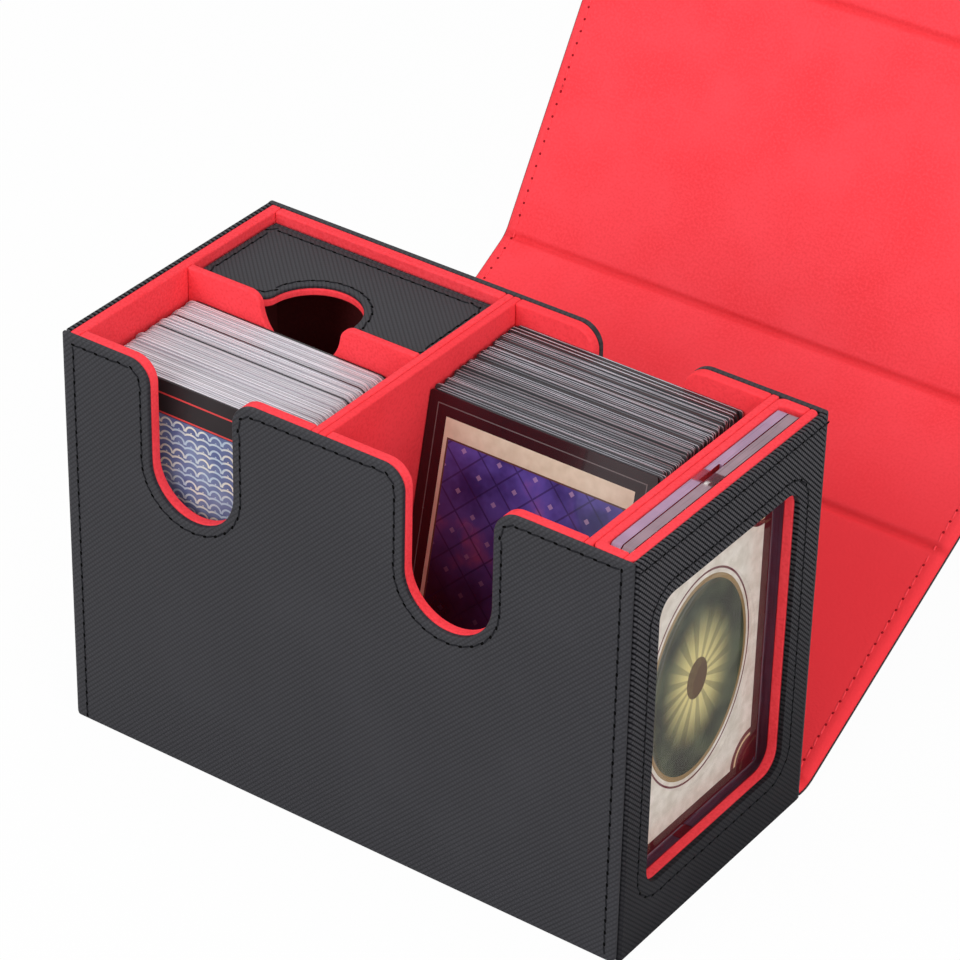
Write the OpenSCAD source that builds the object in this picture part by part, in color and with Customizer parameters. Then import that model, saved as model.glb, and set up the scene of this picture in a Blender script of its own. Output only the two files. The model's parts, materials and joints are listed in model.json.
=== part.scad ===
// Card deck box: a covered board box with a wrap-round flap, two card bays, a display slot behind a
// window and an accessory tray. Millimetres, Z up, origin at the middle of the base on the table.
// The flap is drawn open, as it stands when the cards are shown.

/* [Box] */
// Thickness of the black shell boards
shell_t = 1.6; // [1:0.1:2]
// Thickness of the red liner boards along the outer walls
rim_liner_t = 3.1; // [2.6:0.1:4]
// Thickness of the red liner boards between the bays
liner_t = 2.3; // [1.8:0.1:2.8]
// Thickness of the cover sheet under the box
base_cover_t = 1.2; // [0.8:0.1:1.6]
// Thickness of the base board inside the shell
base_board_t = 2.4; // [1.6:0.1:4]

/* [Bays] */
// Finger room beside the side deck
side_card_room = 9; // [4:0.5:16]
// Finger room beside the main deck
main_card_room = 7.5; // [4:0.5:16]
// Inside width of the display slot
slot_w = 6.7; // [6:0.1:9]
// Inside radius of the display slot's folded liner
slot_corner_r = 1.5; // [0.5:0.1:2.5]
// Thickness of the spacer under the display slot
slot_spacer_t = 7.1; // [3:0.1:12]
// Inside depth of the tray bay, behind the cross divider
tray_bay_d = 34.8; // [28:0.1:36]
// Depth of the main deck's front card top below the rim, which sets the raised floors
deck_drop = 8; // [5:0.5:12]
// Thickness of the raised floor boards
floor_t = 2; // [1.2:0.1:3]
// Thickness of the riser boards under the floors
riser_t = 2; // [1.2:0.1:3]
// Clearance round a raised floor
floor_clear = 0.2; // [0.1:0.05:0.4]

/* [Finger notches] */
// Width of a finger notch in the front and back walls
notch_w = 27; // [20:1:32]
// Depth of a finger notch below the rim
notch_depth = 42; // [30:1:48]
// Radius of a finger notch's shoulders at the rim
notch_shoulder_r = 6.5; // [3:0.5:10]
// Width of the thumb notch in the cross divider and in the tray
thumb_w = 26; // [20:1:32]
// Depth of the thumb notch in the cross divider
thumb_depth = 15; // [13:0.5:22]
// Depth of the thumb notch in the tray's upper wall
tray_thumb_depth = 16; // [13:0.5:20]
// Radius of a thumb notch's shoulders
thumb_shoulder_r = 4; // [2:0.5:6]

/* [Window and display] */
// Width of the window
window_w = 63; // [50:1:66]
// Height of the window
window_h = 87; // [70:1:90]
// Corner radius of the window
window_r = 6; // [2:0.5:10]
// Width of the display card
display_w = 63; // [60:0.5:66]
// Height of the display card
display_h = 88; // [85:0.5:92]
// Thickness of the display card
display_t = 0.6; // [0.3:0.1:1]
// Clearance round the display card in its recess
display_clear = 0.3; // [0.1:0.05:0.5]
// Width of the card holder's rim at each side of the card
holder_rim_w = 6.5; // [4:0.5:9]
// Height of the display card above the holder's lower edge
display_rise = 5; // [3:0.5:8]
// Height of the card holder above the display card
holder_head_h = 15.5; // [12:0.5:20]
// Depth of the card holder's top below the rim
holder_drop = 0.5; // [0.2:0.1:3]
// Clearance between the card holder and each side of its slot
holder_clear = 0.3; // [0.2:0.05:0.5]
// Clearance between the card holder and each end of its slot
holder_end_clear = 0.7; // [0.3:0.1:1.5]
// Corner radius of the card holder
holder_r = 2; // [1:0.5:4]
// Diameter of the card holder's magnet
holder_magnet_d = 5; // [3:0.5:7]
// Thickness of the card holder's magnet
holder_magnet_t = 1.2; // [0.8:0.1:2]
// Depth of the magnet's middle below the card holder's top
holder_magnet_drop = 3.8; // [3.3:0.1:8]
// Length of the thumb slot in the card holder's top edge
pry_slot_l = 9; // [6:0.5:14]
// Width of the thumb slot, from the seam into the inner half
pry_slot_w = 1.2; // [0.8:0.1:2]
// Depth of the thumb slot in the card holder's top edge
pry_slot_depth = 1.6; // [0.8:0.1:2]
// Distance of the thumb slot's middle behind the magnet
pry_slot_back = 2.5; // [0:0.5:6]

/* [Cards] */
// Width of a main deck card in its sleeve
main_card_w = 69; // [66:0.5:70]
// Height of a main deck card in its sleeve
main_card_h = 92; // [88:0.5:94]
// Lean of the main deck's front card from upright, in degrees
main_front_lean_angle = 12; // [2:0.5:14]
// Lean of the main deck's back card from upright, in degrees
main_back_lean_angle = 4; // [1:0.5:12]
// Room in front of the foot of the main deck
main_front_room = 21; // [8:0.5:40]
// Width of a side deck card
side_card_w = 65; // [63:0.5:68]
// Height of a side deck card
side_card_h = 89; // [86:0.5:92]
// Lean of the side deck from upright, in degrees
side_lean_angle = 2; // [0.5:0.5:6]
// Least room in front of the foot of the side deck
side_front_room = 0.5; // [0.5:0.5:20]
// Gap between the side deck's back and the cross divider
side_back_gap = 0.6; // [0.4:0.1:2]
// Spacing of the cards at the top of a deck
card_pitch = 0.72; // [0.6:0.02:1.2]
// Gap between one card and the next
card_gap = 0.1; // [0.06:0.01:0.2]
// Corner radius of a card
card_r = 3; // [1:0.5:4]
// Corner radius of a main deck card's sleeve
sleeve_r = 0.8; // [0.4:0.1:3]
// Gap between a loose piece and the wall or floor that it rests on
deck_clear = 0.3; // [0.2:0.05:0.6]

/* [Tray] */
// Depth of the tray's top below the rim
tray_drop = 2.6; // [2:0.1:8]
// Clearance between the tray and the walls of its bay
tray_clear = 0.7; // [0.4:0.1:1.2]
// Thickness of the tray's black boards
tray_t = 1.2; // [0.8:0.1:2.2]
// Thickness of the tray's red lining boards
tray_lining_t = 2.2; // [1:0.1:2.6]

/* [Flap] */
// Thickness of the flap, cover and lining together
flap_t = 3; // [2.6:0.1:3.6]
// Thickness of the flap's red lining
lining_t = 1.2; // [0.8:0.1:1.4]
// Gap between the closed flap and the box
flap_gap = 1.8; // [1:0.1:3]
// Gap between the opened flap and the table that it is laid on
flap_rest_gap = 0.1; // [0:0.05:0.5]
// Length of the upper back panel, between its two creases
upper_back_l = 44.4; // [30:0.1:60]
// Length of the front panel
front_panel_l = 72; // [60:1:80]
// Corner radius of the front panel's free edge
front_panel_r = 8; // [2:1:16]
// Width of the black edge left bare round the lining
edge_w = 1; // [0.6:0.1:2]
// Radius of the rolled fold at each crease
bead_r = 1.35; // [1:0.05:1.6]
// Gap between a rolled fold and the panels beside it
bead_clear = 0.3; // [0.25:0.05:0.5]
// Slope of the back panel above the table, in degrees
back_slope_angle = 28.7; // [20:0.1:40]
// Fold of the top panel from the back panel, in degrees
top_fold_angle = 30.8; // [10:0.1:60]
// Fold of the front panel from the top panel, in degrees
front_fold_angle = 0; // [0:1:30]

/* [Closure magnets] */
// Diameter of a closure magnet
magnet_d = 12; // [8:0.5:14]
// Thickness of a closure magnet
magnet_t = 1.2; // [0.8:0.1:1.4]
// Distance between the two closure magnets
magnet_span = 120; // [90:1:124]
// Distance of the magnets from the front panel's free edge
magnet_inset = 14; // [10:0.5:18]
// Clearance round a magnet in its pocket
magnet_clear = 0.1; // [0.05:0.01:0.2]

/* [Hidden] */
$fn = 64;
// how far a cut runs past the face that it opens
past = 1;

// colours
black_cover = "#424144";
red_suede = "#e6323a";
clear_plastic = "#b9a6bd80";
metal = "silver";
card_stock = "#c9c9d4";

// outside of the box, from what it holds
wall_t = shell_t + rim_liner_t;
side_bay_w = side_card_w + side_card_room;
main_bay_w = main_card_w + main_card_room;
holder_w = display_w + 2 * holder_rim_w;
holder_h = display_rise + display_h + holder_head_h;
liner_z = base_cover_t + base_board_t;
holder_z = liner_z + slot_spacer_t + deck_clear;
box_l = side_bay_w + main_bay_w + slot_w + 4 * liner_t + 2 * wall_t;
box_d = holder_w + 2 * holder_end_clear + 2 * wall_t;
box_h = holder_z + holder_h + holder_drop;

// shell and bays: low and high faces along X, from the left end
shell_x0 = -box_l / 2 + shell_t;
shell_x1 = box_l / 2 - shell_t;
side_x0 = -box_l / 2 + wall_t;
side_x1 = side_x0 + side_bay_w;
main_x0 = side_x1 + 2 * liner_t;
main_x1 = main_x0 + main_bay_w;
slot_x0 = main_x1 + 2 * liner_t;
slot_x1 = slot_x0 + slot_w;
side_mid = (side_x0 + side_x1) / 2;
main_mid = (main_x0 + main_x1) / 2;

// depths along Y
shell_y = box_d / 2 - shell_t;
bay_y = box_d / 2 - wall_t;
divider_y1 = bay_y - tray_bay_d;
divider_y0 = divider_y1 - liner_t;

// heights
wall_z = base_cover_t;
floor_z = box_h - deck_drop - main_card_h * cos(main_front_lean_angle);
display_z = holder_z + display_rise + display_h / 2;

// card holder
holder_x0 = slot_x0 + holder_clear;
holder_x1 = slot_x1 - holder_clear;
holder_mid = (holder_x0 + holder_x1) / 2;
half_t = (holder_x1 - holder_x0) / 2;

// tray
tray_x0 = side_x0 + tray_clear;
tray_x1 = side_x1 - tray_clear;
tray_y0 = divider_y1 + tray_clear;
tray_y1 = bay_y - tray_clear;
tray_z0 = floor_z + deck_clear;
tray_z1 = box_h - tray_drop;
tray_in = tray_t + tray_lining_t;

// decks
card_t = card_pitch - card_gap;
main_depth = 2 * bay_y - deck_clear - main_front_room - main_card_h * sin(main_front_lean_angle);
side_depth = bay_y + divider_y0 - side_back_gap - side_front_room - side_card_h * sin(side_lean_angle);
main_count = floor(main_depth / card_pitch);
side_count = floor(side_depth / card_pitch);

// flap: the crease axes lie in the middle of the flap's thickness
cover_t = flap_t - lining_t;
crease = bead_r + bead_clear;
hinge_y = box_d / 2 + flap_gap + flap_t / 2;
hinge_z = flap_t / 2 + flap_rest_gap;
back_l = box_h + flap_gap + flap_t / 2 - hinge_z;
lower_back_l = back_l - upper_back_l;
top_l = 2 * hinge_y;
top_slope = back_slope_angle + top_fold_angle;
front_slope = top_slope + front_fold_angle;
back_dir = [cos(back_slope_angle), sin(back_slope_angle)];
top_dir = [cos(top_slope), sin(top_slope)];
hinge_at = [hinge_y, hinge_z];
fold_at = hinge_at + lower_back_l * back_dir;
top_at = hinge_at + back_l * back_dir;
front_at = top_at + top_l * top_dir;

// closure magnets: the height at which the closed front panel meets the front wall's pair
magnet_along = front_panel_l - magnet_inset;
magnet_z = box_h + flap_gap + flap_t / 2 - magnet_along;

// flat outlines

module rounded_rect(w, h, r) {
  square([w - 2 * r, h], center = true);
  square([w, h - 2 * r], center = true);
  for (x = [-1, 1], y = [-1, 1])
    translate([x * (w / 2 - r), y * (h / 2 - r)])
      circle(r);
}

// U-shaped cut down from y = 0, with a round bottom and round shoulders that run into its sides
module notch(w, depth, shoulder) {
  r = w / 2;
  straight = depth - r;
  side = straight >= shoulder;
  mid_x = side ? r + shoulder : sqrt(pow(r + shoulder, 2) - pow(shoulder - straight, 2));
  low = side ? -shoulder : -straight - r * (shoulder - straight) / (r + shoulder);
  translate([0, -straight])
    circle(r);
  translate([-r, -straight])
    square([w, straight + past]);
  for (m = [0, 1])
    mirror([m, 0])
      difference() {
        translate([0, low])
          square([mid_x, past - low]);
        translate([mid_x, -shoulder])
          circle(shoulder);
      }
}

// Rectangle between two corners, less a notch in its top edge
module notched_rect(low, high, mid, w, depth, shoulder) {
  difference() {
    translate(low)
      square(high - low);
    translate([mid, high[1]])
      notch(w, depth, shoulder);
  }
}

module finger_notch(mid) {
  translate([mid, box_h])
    notch(notch_w, notch_depth, notch_shoulder_r);
}

module window_hole() {
  translate([0, display_z])
    rounded_rect(window_w, window_h, window_r);
}

// boards: an outline in X and Z, or in Y and Z, given a thickness

module board_xz(y0, t) {
  translate([0, y0 + t, 0])
    rotate([90, 0, 0])
      linear_extrude(t)
        children();
}

module board_yz(x0, t) {
  translate([x0, 0, 0])
    rotate([90, 0, 90])
      linear_extrude(t)
        children();
}

module block(low, high) {
  translate(low)
    cube(high - low);
}

// shell

module base_cover() {
  color(black_cover)
    block([-box_l / 2, -box_d / 2, 0], [box_l / 2, hinge_y - crease, base_cover_t]);
}

module base_board() {
  color(black_cover)
    block([shell_x0, -shell_y, wall_z], [shell_x1, shell_y, liner_z]);
}

module front_wall() {
  color(black_cover)
    board_xz(-box_d / 2, shell_t)
      difference() {
        translate([-box_l / 2, wall_z])
          square([box_l, box_h - wall_z]);
        finger_notch(side_mid);
        finger_notch(main_mid);
      }
}

// the closure magnets lie in the front liners, against the front wall
module wall_magnets() {
  color(metal)
    for (s = [-1, 1])
      translate([s * magnet_span / 2, -shell_y, magnet_z])
        rotate([-90, 0, 0])
          cylinder(d = magnet_d, h = magnet_t);
}

module wall_pockets() {
  for (s = [-1, 1])
    translate([s * magnet_span / 2, -shell_y - past, magnet_z])
      rotate([-90, 0, 0])
        cylinder(d = magnet_d + 2 * magnet_clear, h = magnet_t + past);
}

module back_wall() {
  color(black_cover)
    board_xz(shell_y, shell_t)
      difference() {
        translate([-box_l / 2, wall_z])
          square([box_l, box_h - wall_z]);
        finger_notch(main_mid);
      }
}

module left_wall() {
  color(black_cover)
    block([-box_l / 2, -shell_y, wall_z], [shell_x0, shell_y, box_h]);
}

module window_wall() {
  color(black_cover)
    board_yz(shell_x1, shell_t)
      difference() {
        translate([-shell_y, wall_z])
          square([2 * shell_y, box_h - wall_z]);
        window_hole();
      }
}

// liners

module full_depth_liner(x0, t = liner_t) {
  color(red_suede)
    difference() {
      block([x0, -shell_y, liner_z], [x0 + t, shell_y, box_h]);
      wall_pockets();
    }
}

module bay_liner(x0, x1, y0, notch_at = []) {
  color(red_suede)
    board_xz(y0, rim_liner_t)
      difference() {
        translate([x0, liner_z])
          square([x1 - x0, box_h - liner_z]);
        for (mid = notch_at)
          finger_notch(mid);
      }
}

module front_liner(x0, x1, mid) {
  difference() {
    bay_liner(x0, x1, -shell_y, [mid]);
    wall_pockets();
  }
}

module side_liner_left() full_depth_liner(shell_x0, rim_liner_t);
module side_liner_front() front_liner(side_x0, side_x1, side_mid);
module side_liner_back() bay_liner(side_x0, side_x1, bay_y);
module side_partition() full_depth_liner(side_x1);
module main_partition() full_depth_liner(side_x1 + liner_t);
module main_liner_front() front_liner(main_x0, main_x1, main_mid);
module main_liner_back() bay_liner(main_x0, main_x1, bay_y, [main_mid]);
module main_liner_right() full_depth_liner(main_x1);

// one board folded to a C: the slot's inner side and its two ends
module slot_liner() {
  x0 = main_x1 + liner_t;
  color(red_suede)
    translate([0, 0, liner_z])
      linear_extrude(box_h - liner_z)
        difference() {
          translate([x0, -shell_y])
            square([slot_x1 - x0, 2 * shell_y]);
          translate([(slot_x0 + slot_x1 + past) / 2, 0])
            rounded_rect(slot_w + past, 2 * bay_y, slot_corner_r);
          translate([slot_x1 - slot_corner_r - past, -bay_y])
            square([slot_corner_r + 2 * past, 2 * bay_y]);
        }
}

module window_liner() {
  color(red_suede)
    board_yz(slot_x1, rim_liner_t)
      difference() {
        translate([-shell_y, liner_z])
          square([2 * shell_y, box_h - liner_z]);
        window_hole();
      }
}

module cross_divider() {
  color(red_suede)
    board_xz(divider_y0, liner_t)
      notched_rect([side_x0, floor_z], [side_x1, box_h], side_mid, thumb_w, thumb_depth, thumb_shoulder_r);
}

// raised floors

module bay_floor(x0, x1) {
  color(red_suede)
    block(
      [x0 + floor_clear, -bay_y + floor_clear, floor_z - floor_t],
      [x1 - floor_clear, bay_y - floor_clear, floor_z]
    );
}

module bay_risers(x0, x1) {
  color(black_cover)
    for (m = [0, 1])
      mirror([0, m, 0])
        block(
          [x0 + floor_clear, bay_y - floor_clear - riser_t, liner_z],
          [x1 - floor_clear, bay_y - floor_clear, floor_z - floor_t]
        );
}

module side_floor() bay_floor(side_x0, side_x1);
module main_floor() bay_floor(main_x0, main_x1);
module side_risers() bay_risers(side_x0, side_x1);
module main_risers() bay_risers(main_x0, main_x1);

module slot_floor() {
  color(red_suede)
    block(
      [slot_x0 + floor_clear, -bay_y + slot_corner_r, liner_z],
      [slot_x1 - floor_clear, bay_y - slot_corner_r, holder_z - deck_clear]
    );
}

// flap: each panel is drawn along +Y from its crease, with its lining up

module at_crease(crease_at, slope) {
  translate([0, crease_at[0], crease_at[1]])
    rotate([slope, 0, 0])
      children();
}

module panel_cover(length) {
  translate([-box_l / 2, crease, -flap_t / 2])
    cube([box_l, length - 2 * crease, cover_t]);
}

module panel_lining(length) {
  translate([-box_l / 2 + edge_w, crease, cover_t - flap_t / 2])
    cube([box_l - 2 * edge_w, length - 2 * crease, lining_t]);
}

// outline of the front panel, drawn in from its edge, with its two free corners rounded
module front_outline(inset) {
  half = box_l / 2 - inset;
  end = front_panel_l - inset;
  translate([-half, crease])
    square([2 * half, end - crease - front_panel_r]);
  translate([-half + front_panel_r, crease])
    square([2 * (half - front_panel_r), end - crease]);
  for (s = [-1, 1])
    translate([s * (half - front_panel_r), end - front_panel_r])
      circle(front_panel_r);
}

module crease_bead() {
  translate([-box_l / 2 + edge_w, 0, 0])
    rotate([0, 90, 0])
      cylinder(r = bead_r, h = box_l - 2 * edge_w);
}

module hinge_bead() {
  color(black_cover)
    at_crease(hinge_at, 0)
      crease_bead();
}

module lower_cover() {
  color(black_cover)
    at_crease(hinge_at, back_slope_angle)
      panel_cover(lower_back_l);
}

module lower_lining() {
  color(red_suede)
    at_crease(hinge_at, back_slope_angle)
      panel_lining(lower_back_l);
}

module fold_bead() {
  color(red_suede)
    at_crease(fold_at, back_slope_angle)
      crease_bead();
}

module upper_cover() {
  color(black_cover)
    at_crease(fold_at, back_slope_angle)
      panel_cover(upper_back_l);
}

module upper_lining() {
  color(red_suede)
    at_crease(fold_at, back_slope_angle)
      panel_lining(upper_back_l);
}

module top_bead() {
  color(red_suede)
    at_crease(top_at, top_slope)
      crease_bead();
}

module top_cover() {
  color(black_cover)
    at_crease(top_at, top_slope)
      panel_cover(top_l);
}

module top_lining() {
  color(red_suede)
    at_crease(top_at, top_slope)
      panel_lining(top_l);
}

module front_bead() {
  color(red_suede)
    at_crease(front_at, front_slope)
      crease_bead();
}

module front_cover() {
  color(black_cover)
    at_crease(front_at, front_slope)
      difference() {
        translate([0, 0, -flap_t / 2])
          linear_extrude(cover_t)
            front_outline(0);
        for (s = [-1, 1])
          translate([s * magnet_span / 2, magnet_along, cover_t - flap_t / 2 - magnet_t])
            cylinder(d = magnet_d + 2 * magnet_clear, h = magnet_t + past);
      }
}

module front_lining() {
  color(red_suede)
    at_crease(front_at, front_slope)
      translate([0, 0, cover_t - flap_t / 2])
        linear_extrude(lining_t)
          front_outline(edge_w);
}

module flap_magnets() {
  color(metal)
    at_crease(front_at, front_slope)
      for (s = [-1, 1])
        translate([s * magnet_span / 2, magnet_along, cover_t - flap_t / 2 - magnet_t])
          cylinder(d = magnet_d, h = magnet_t);
}

// tray: stored on its side, with its open side towards the cross divider

module tray_back() {
  color(black_cover)
    block([tray_x0, tray_y1 - tray_t, tray_z0], [tray_x1, tray_y1, tray_z1]);
}

// the upper wall or its lining, with the thumb notch in its open edge
module tray_upper(x0, x1, y1, z0, t) {
  translate([0, tray_y0, z0])
    linear_extrude(t)
      mirror([0, 1])
        notched_rect([x0, tray_y0 - y1], [x1, 0], side_mid, thumb_w, tray_thumb_depth, thumb_shoulder_r);
}

module tray_top() {
  color(black_cover)
    tray_upper(tray_x0, tray_x1, tray_y1 - tray_t, tray_z1 - tray_t, tray_t);
}

module tray_bottom() {
  color(black_cover)
    block([tray_x0, tray_y0, tray_z0], [tray_x1, tray_y1 - tray_t, tray_z0 + tray_t]);
}

module tray_side(x0) {
  color(black_cover)
    block([x0, tray_y0, tray_z0 + tray_t], [x0 + tray_t, tray_y1 - tray_t, tray_z1 - tray_t]);
}

module tray_left() tray_side(tray_x0);
module tray_right() tray_side(tray_x1 - tray_t);

module tray_lining_back() {
  color(red_suede)
    block(
      [tray_x0 + tray_t, tray_y1 - tray_in, tray_z0 + tray_t],
      [tray_x1 - tray_t, tray_y1 - tray_t, tray_z1 - tray_t]
    );
}

module tray_lining_top() {
  color(red_suede)
    tray_upper(tray_x0 + tray_t, tray_x1 - tray_t, tray_y1 - tray_in, tray_z1 - tray_in, tray_lining_t);
}

module tray_lining_bottom() {
  color(red_suede)
    block(
      [tray_x0 + tray_t, tray_y0, tray_z0 + tray_t],
      [tray_x1 - tray_t, tray_y1 - tray_in, tray_z0 + tray_in]
    );
}

module tray_lining_side(x0) {
  color(red_suede)
    block([x0, tray_y0, tray_z0 + tray_in], [x0 + tray_lining_t, tray_y1 - tray_in, tray_z1 - tray_in]);
}

module tray_lining_left() tray_lining_side(tray_x0 + tray_t);
module tray_lining_right() tray_lining_side(tray_x1 - tray_in);

// card holder: two clear halves that meet in the middle of the slot, with half the recess in each

module holder_half(x0) {
  color(clear_plastic)
    difference() {
      board_yz(x0, half_t)
        translate([0, holder_z + holder_h / 2])
          rounded_rect(holder_w, holder_h, holder_r);
      card_recess();
      children();
    }
}

module pry_slot() {
  translate([holder_mid - pry_slot_w, pry_slot_back - pry_slot_l / 2, holder_z + holder_h - pry_slot_depth])
    cube([pry_slot_w + past, pry_slot_l, pry_slot_depth + past]);
}

module card_recess() {
  depth = display_t + 2 * display_clear;
  board_yz(holder_mid - depth / 2, depth)
    translate([0, display_z])
      square([display_w + 2 * display_clear, display_h + 2 * display_clear], center = true);
  magnet_depth = holder_magnet_t + 2 * magnet_clear;
  translate([holder_mid - magnet_depth / 2, 0, holder_z + holder_h - holder_magnet_drop])
    rotate([0, 90, 0])
      cylinder(d = holder_magnet_d + 2 * magnet_clear, h = magnet_depth);
}

module holder_inner_half() holder_half(holder_x0) pry_slot();
module holder_window_half() holder_half(holder_mid);

module holder_magnet() {
  color(metal)
    translate([holder_mid - holder_magnet_t / 2, 0, holder_z + holder_h - holder_magnet_drop])
      rotate([0, 90, 0])
        cylinder(d = holder_magnet_d, h = holder_magnet_t);
}

module display_card() {
  color(card_stock)
    board_yz(holder_mid - display_t / 2, display_t)
      translate([0, display_z])
        rounded_rect(display_w, display_h, card_r);
}

// decks: cards stand on the raised floor and lean back, top edges card_pitch apart

module leaning_card(w, h, r, top_y, lean) {
  translate([0, top_y - h * sin(lean), floor_z + deck_clear])
    rotate([-lean, 0, 0])
      board_xz(-card_t, card_t)
        translate([0, h / 2])
          rounded_rect(w, h, r);
}

module side_cards() {
  color(card_stock)
    translate([side_x0 + deck_clear + side_card_w / 2, 0, 0])
      for (i = [0 : side_count - 1])
        leaning_card(
          side_card_w, side_card_h, card_r,
          divider_y0 - side_back_gap - i * card_pitch,
          side_lean_angle
        );
}

module main_cards() {
  spread = (main_front_lean_angle - main_back_lean_angle) / (main_count - 1);
  color(card_stock)
    translate([main_x0 + deck_clear + main_card_w / 2, 0, 0])
      for (i = [0 : main_count - 1])
        leaning_card(
          main_card_w, main_card_h, sleeve_r,
          bay_y - deck_clear - i * card_pitch,
          main_back_lean_angle + i * spread
        );
}

base_cover();
base_board();
front_wall();
back_wall();
left_wall();
window_wall();
side_liner_left();
side_liner_front();
side_liner_back();
side_partition();
main_partition();
main_liner_front();
main_liner_back();
main_liner_right();
slot_liner();
window_liner();
cross_divider();
side_floor();
main_floor();
slot_floor();
side_risers();
main_risers();
wall_magnets();
hinge_bead();
lower_cover();
lower_lining();
fold_bead();
upper_cover();
upper_lining();
top_bead();
top_cover();
top_lining();
front_bead();
front_cover();
front_lining();
flap_magnets();
tray_back();
tray_top();
tray_bottom();
tray_left();
tray_right();
tray_lining_back();
tray_lining_top();
tray_lining_bottom();
tray_lining_left();
tray_lining_right();
holder_window_half();
holder_inner_half();
holder_magnet();
display_card();
side_cards();
main_cards();
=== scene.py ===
"""Card deck box: cloth, suede, stitching, flap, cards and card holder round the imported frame."""
import json
import math

import bmesh
import bpy
import numpy as np
from bpy.props import FloatProperty, FloatVectorProperty, IntProperty, PointerProperty
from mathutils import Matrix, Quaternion, Vector


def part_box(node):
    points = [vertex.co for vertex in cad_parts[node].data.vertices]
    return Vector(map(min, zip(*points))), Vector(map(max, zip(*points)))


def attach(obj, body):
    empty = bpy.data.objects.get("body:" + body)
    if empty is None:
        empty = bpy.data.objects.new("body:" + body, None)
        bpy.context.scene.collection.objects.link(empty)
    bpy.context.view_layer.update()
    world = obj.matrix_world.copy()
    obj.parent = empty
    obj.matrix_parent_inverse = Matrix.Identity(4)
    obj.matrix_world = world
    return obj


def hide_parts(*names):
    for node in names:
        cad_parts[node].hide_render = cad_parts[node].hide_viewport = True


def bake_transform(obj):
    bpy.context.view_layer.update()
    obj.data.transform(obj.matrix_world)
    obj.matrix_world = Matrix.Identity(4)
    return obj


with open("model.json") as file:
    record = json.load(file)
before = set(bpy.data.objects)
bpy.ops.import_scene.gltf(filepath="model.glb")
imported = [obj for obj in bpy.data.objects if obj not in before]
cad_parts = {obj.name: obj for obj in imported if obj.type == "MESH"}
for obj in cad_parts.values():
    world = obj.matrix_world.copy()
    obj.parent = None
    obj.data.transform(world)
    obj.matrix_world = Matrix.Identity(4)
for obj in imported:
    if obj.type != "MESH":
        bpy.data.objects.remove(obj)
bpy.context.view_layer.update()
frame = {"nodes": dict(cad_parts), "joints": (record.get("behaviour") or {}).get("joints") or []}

bl_info = {
    "name": "Card deck box",
    "version": (1, 0, 0),
    "blender": (4, 5, 0),
    "location": "3D View > Sidebar > Deck Box",
    "description": "Dresses the card deck box with its cloth, stitching, cards, holder and studio",
    "category": "Object",
}

MM = 0.001
TURN = 2 * math.pi

# Joining of loose triangles: weld distance, and the angle under which two faces count as one flat
WELD = 1e-6
FLAT_ANGLE = math.radians(0.4)
# Faces that look up this far under the card holder's top belong to its thumb slot
SLOT_REACH = 3 * MM
# Power that blunts the ends of a stitch: 1 is an egg, less is a sausage
BLUNTNESS = 0.6
# Refraction of the card holder's plastic
ACRYLIC_IOR = 1.49
# Edges sharper than this are rounded by a bevel, and stay sharp in shading where they aren't
EDGE_ANGLE = math.radians(35)
ROUND_STEPS = 3
# Steps round the corners of a printed card, and of each card in a deck
PRINT_STEPS = 6
DECK_STEPS = 5
# How far a face's normal goes along a direction that it faces, exactly or roughly
FACES_EXACTLY = 0.999
FACES_ROUGHLY = 0.7


def size(name, text, millimetres):
    """A length setting, given in millimetres."""
    return FloatProperty(name=name, description=text, default=millimetres * MM, unit="LENGTH", precision=5)


def share(name, text, default):
    """A plain number from 0 to 1."""
    return FloatProperty(name=name, description=text, default=default, min=0.0, max=1.0, subtype="FACTOR")


def turn(name, text, degrees):
    """An angle setting, given in degrees."""
    return FloatProperty(name=name, description=text, default=math.radians(degrees), unit="ROTATION")


def power(name, text, watts):
    """A lamp's power in watts."""
    return FloatProperty(name=name, description=text, default=watts, min=0.0, unit="POWER")


def paint(name, text, rgb):
    """A colour setting."""
    return FloatVectorProperty(
        name=name, description=text, default=rgb, size=3, min=0.0, max=1.0, subtype="COLOR"
    )


def place(name, text, metres):
    """A point setting."""
    return FloatVectorProperty(name=name, description=text, default=metres, size=3, subtype="TRANSLATION")


class LeatherclothSettings(bpy.types.PropertyGroup):
    """Black ribbed leathercloth on the outside of the box, the flap and the tray."""

    # Crest and valley colours, also the end walls', paint light on the rib tops and shade between the ribs;
    # soft sets that painted contrast
    valley: paint("Valley colour", "Cloth between the ribs", (0.0062, 0.0062, 0.0080))
    crest: paint("Crest colour", "Cloth on top of the ribs", (0.052, 0.051, 0.060))
    rib_pitch: size("Rib pitch", "Distance from one diagonal rib to the next", 1.10)
    rib_depth: size("Rib depth", "Height of the ribs", 0.04)
    end_rib_depth: size("End rib depth", "Height of the ribs on the end walls", 0.10)
    soft: share("Soft ribs", "Contrast of the ribs on the long walls and the tray's top", 0.54)
    end_valley: paint("End valley colour", "Cloth between the end walls' ribs", (0.0034, 0.0034, 0.0044))
    end_crest: paint("End crest colour", "Cloth on top of the end walls' ribs", (0.063, 0.061, 0.070))
    # Painted light: the end walls' rib contrast is weak at the foot and gains up to the rim, as under a lamp
    # from above
    end_foot_light: share("End foot", "Contrast of the ribs at the foot of the end walls", 0.2)
    end_light_gain: share("End gain", "Contrast that the ribs of the end walls gain up to the rim", 1.0)
    rounding: size("Edge rounding", "Radius of the turned edges", 0.45)
    foot: size("Foot rounding", "Radius of the front wall's lower corners", 1.7)
    upright: share("Upright corners", "Front wall's upright corners, as a share of the foot's radius", 0.55)
    sharp: share("Back left corner", "Back wall's left corner, as a share of the foot's radius", 0.3)
    round: share("Back right corner", "Back wall's right corner, as a share of the foot's radius", 0.8)
    groove: size("Corner groove", "Depth of the groove between the front wall and the window wall", 0.9)


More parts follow.
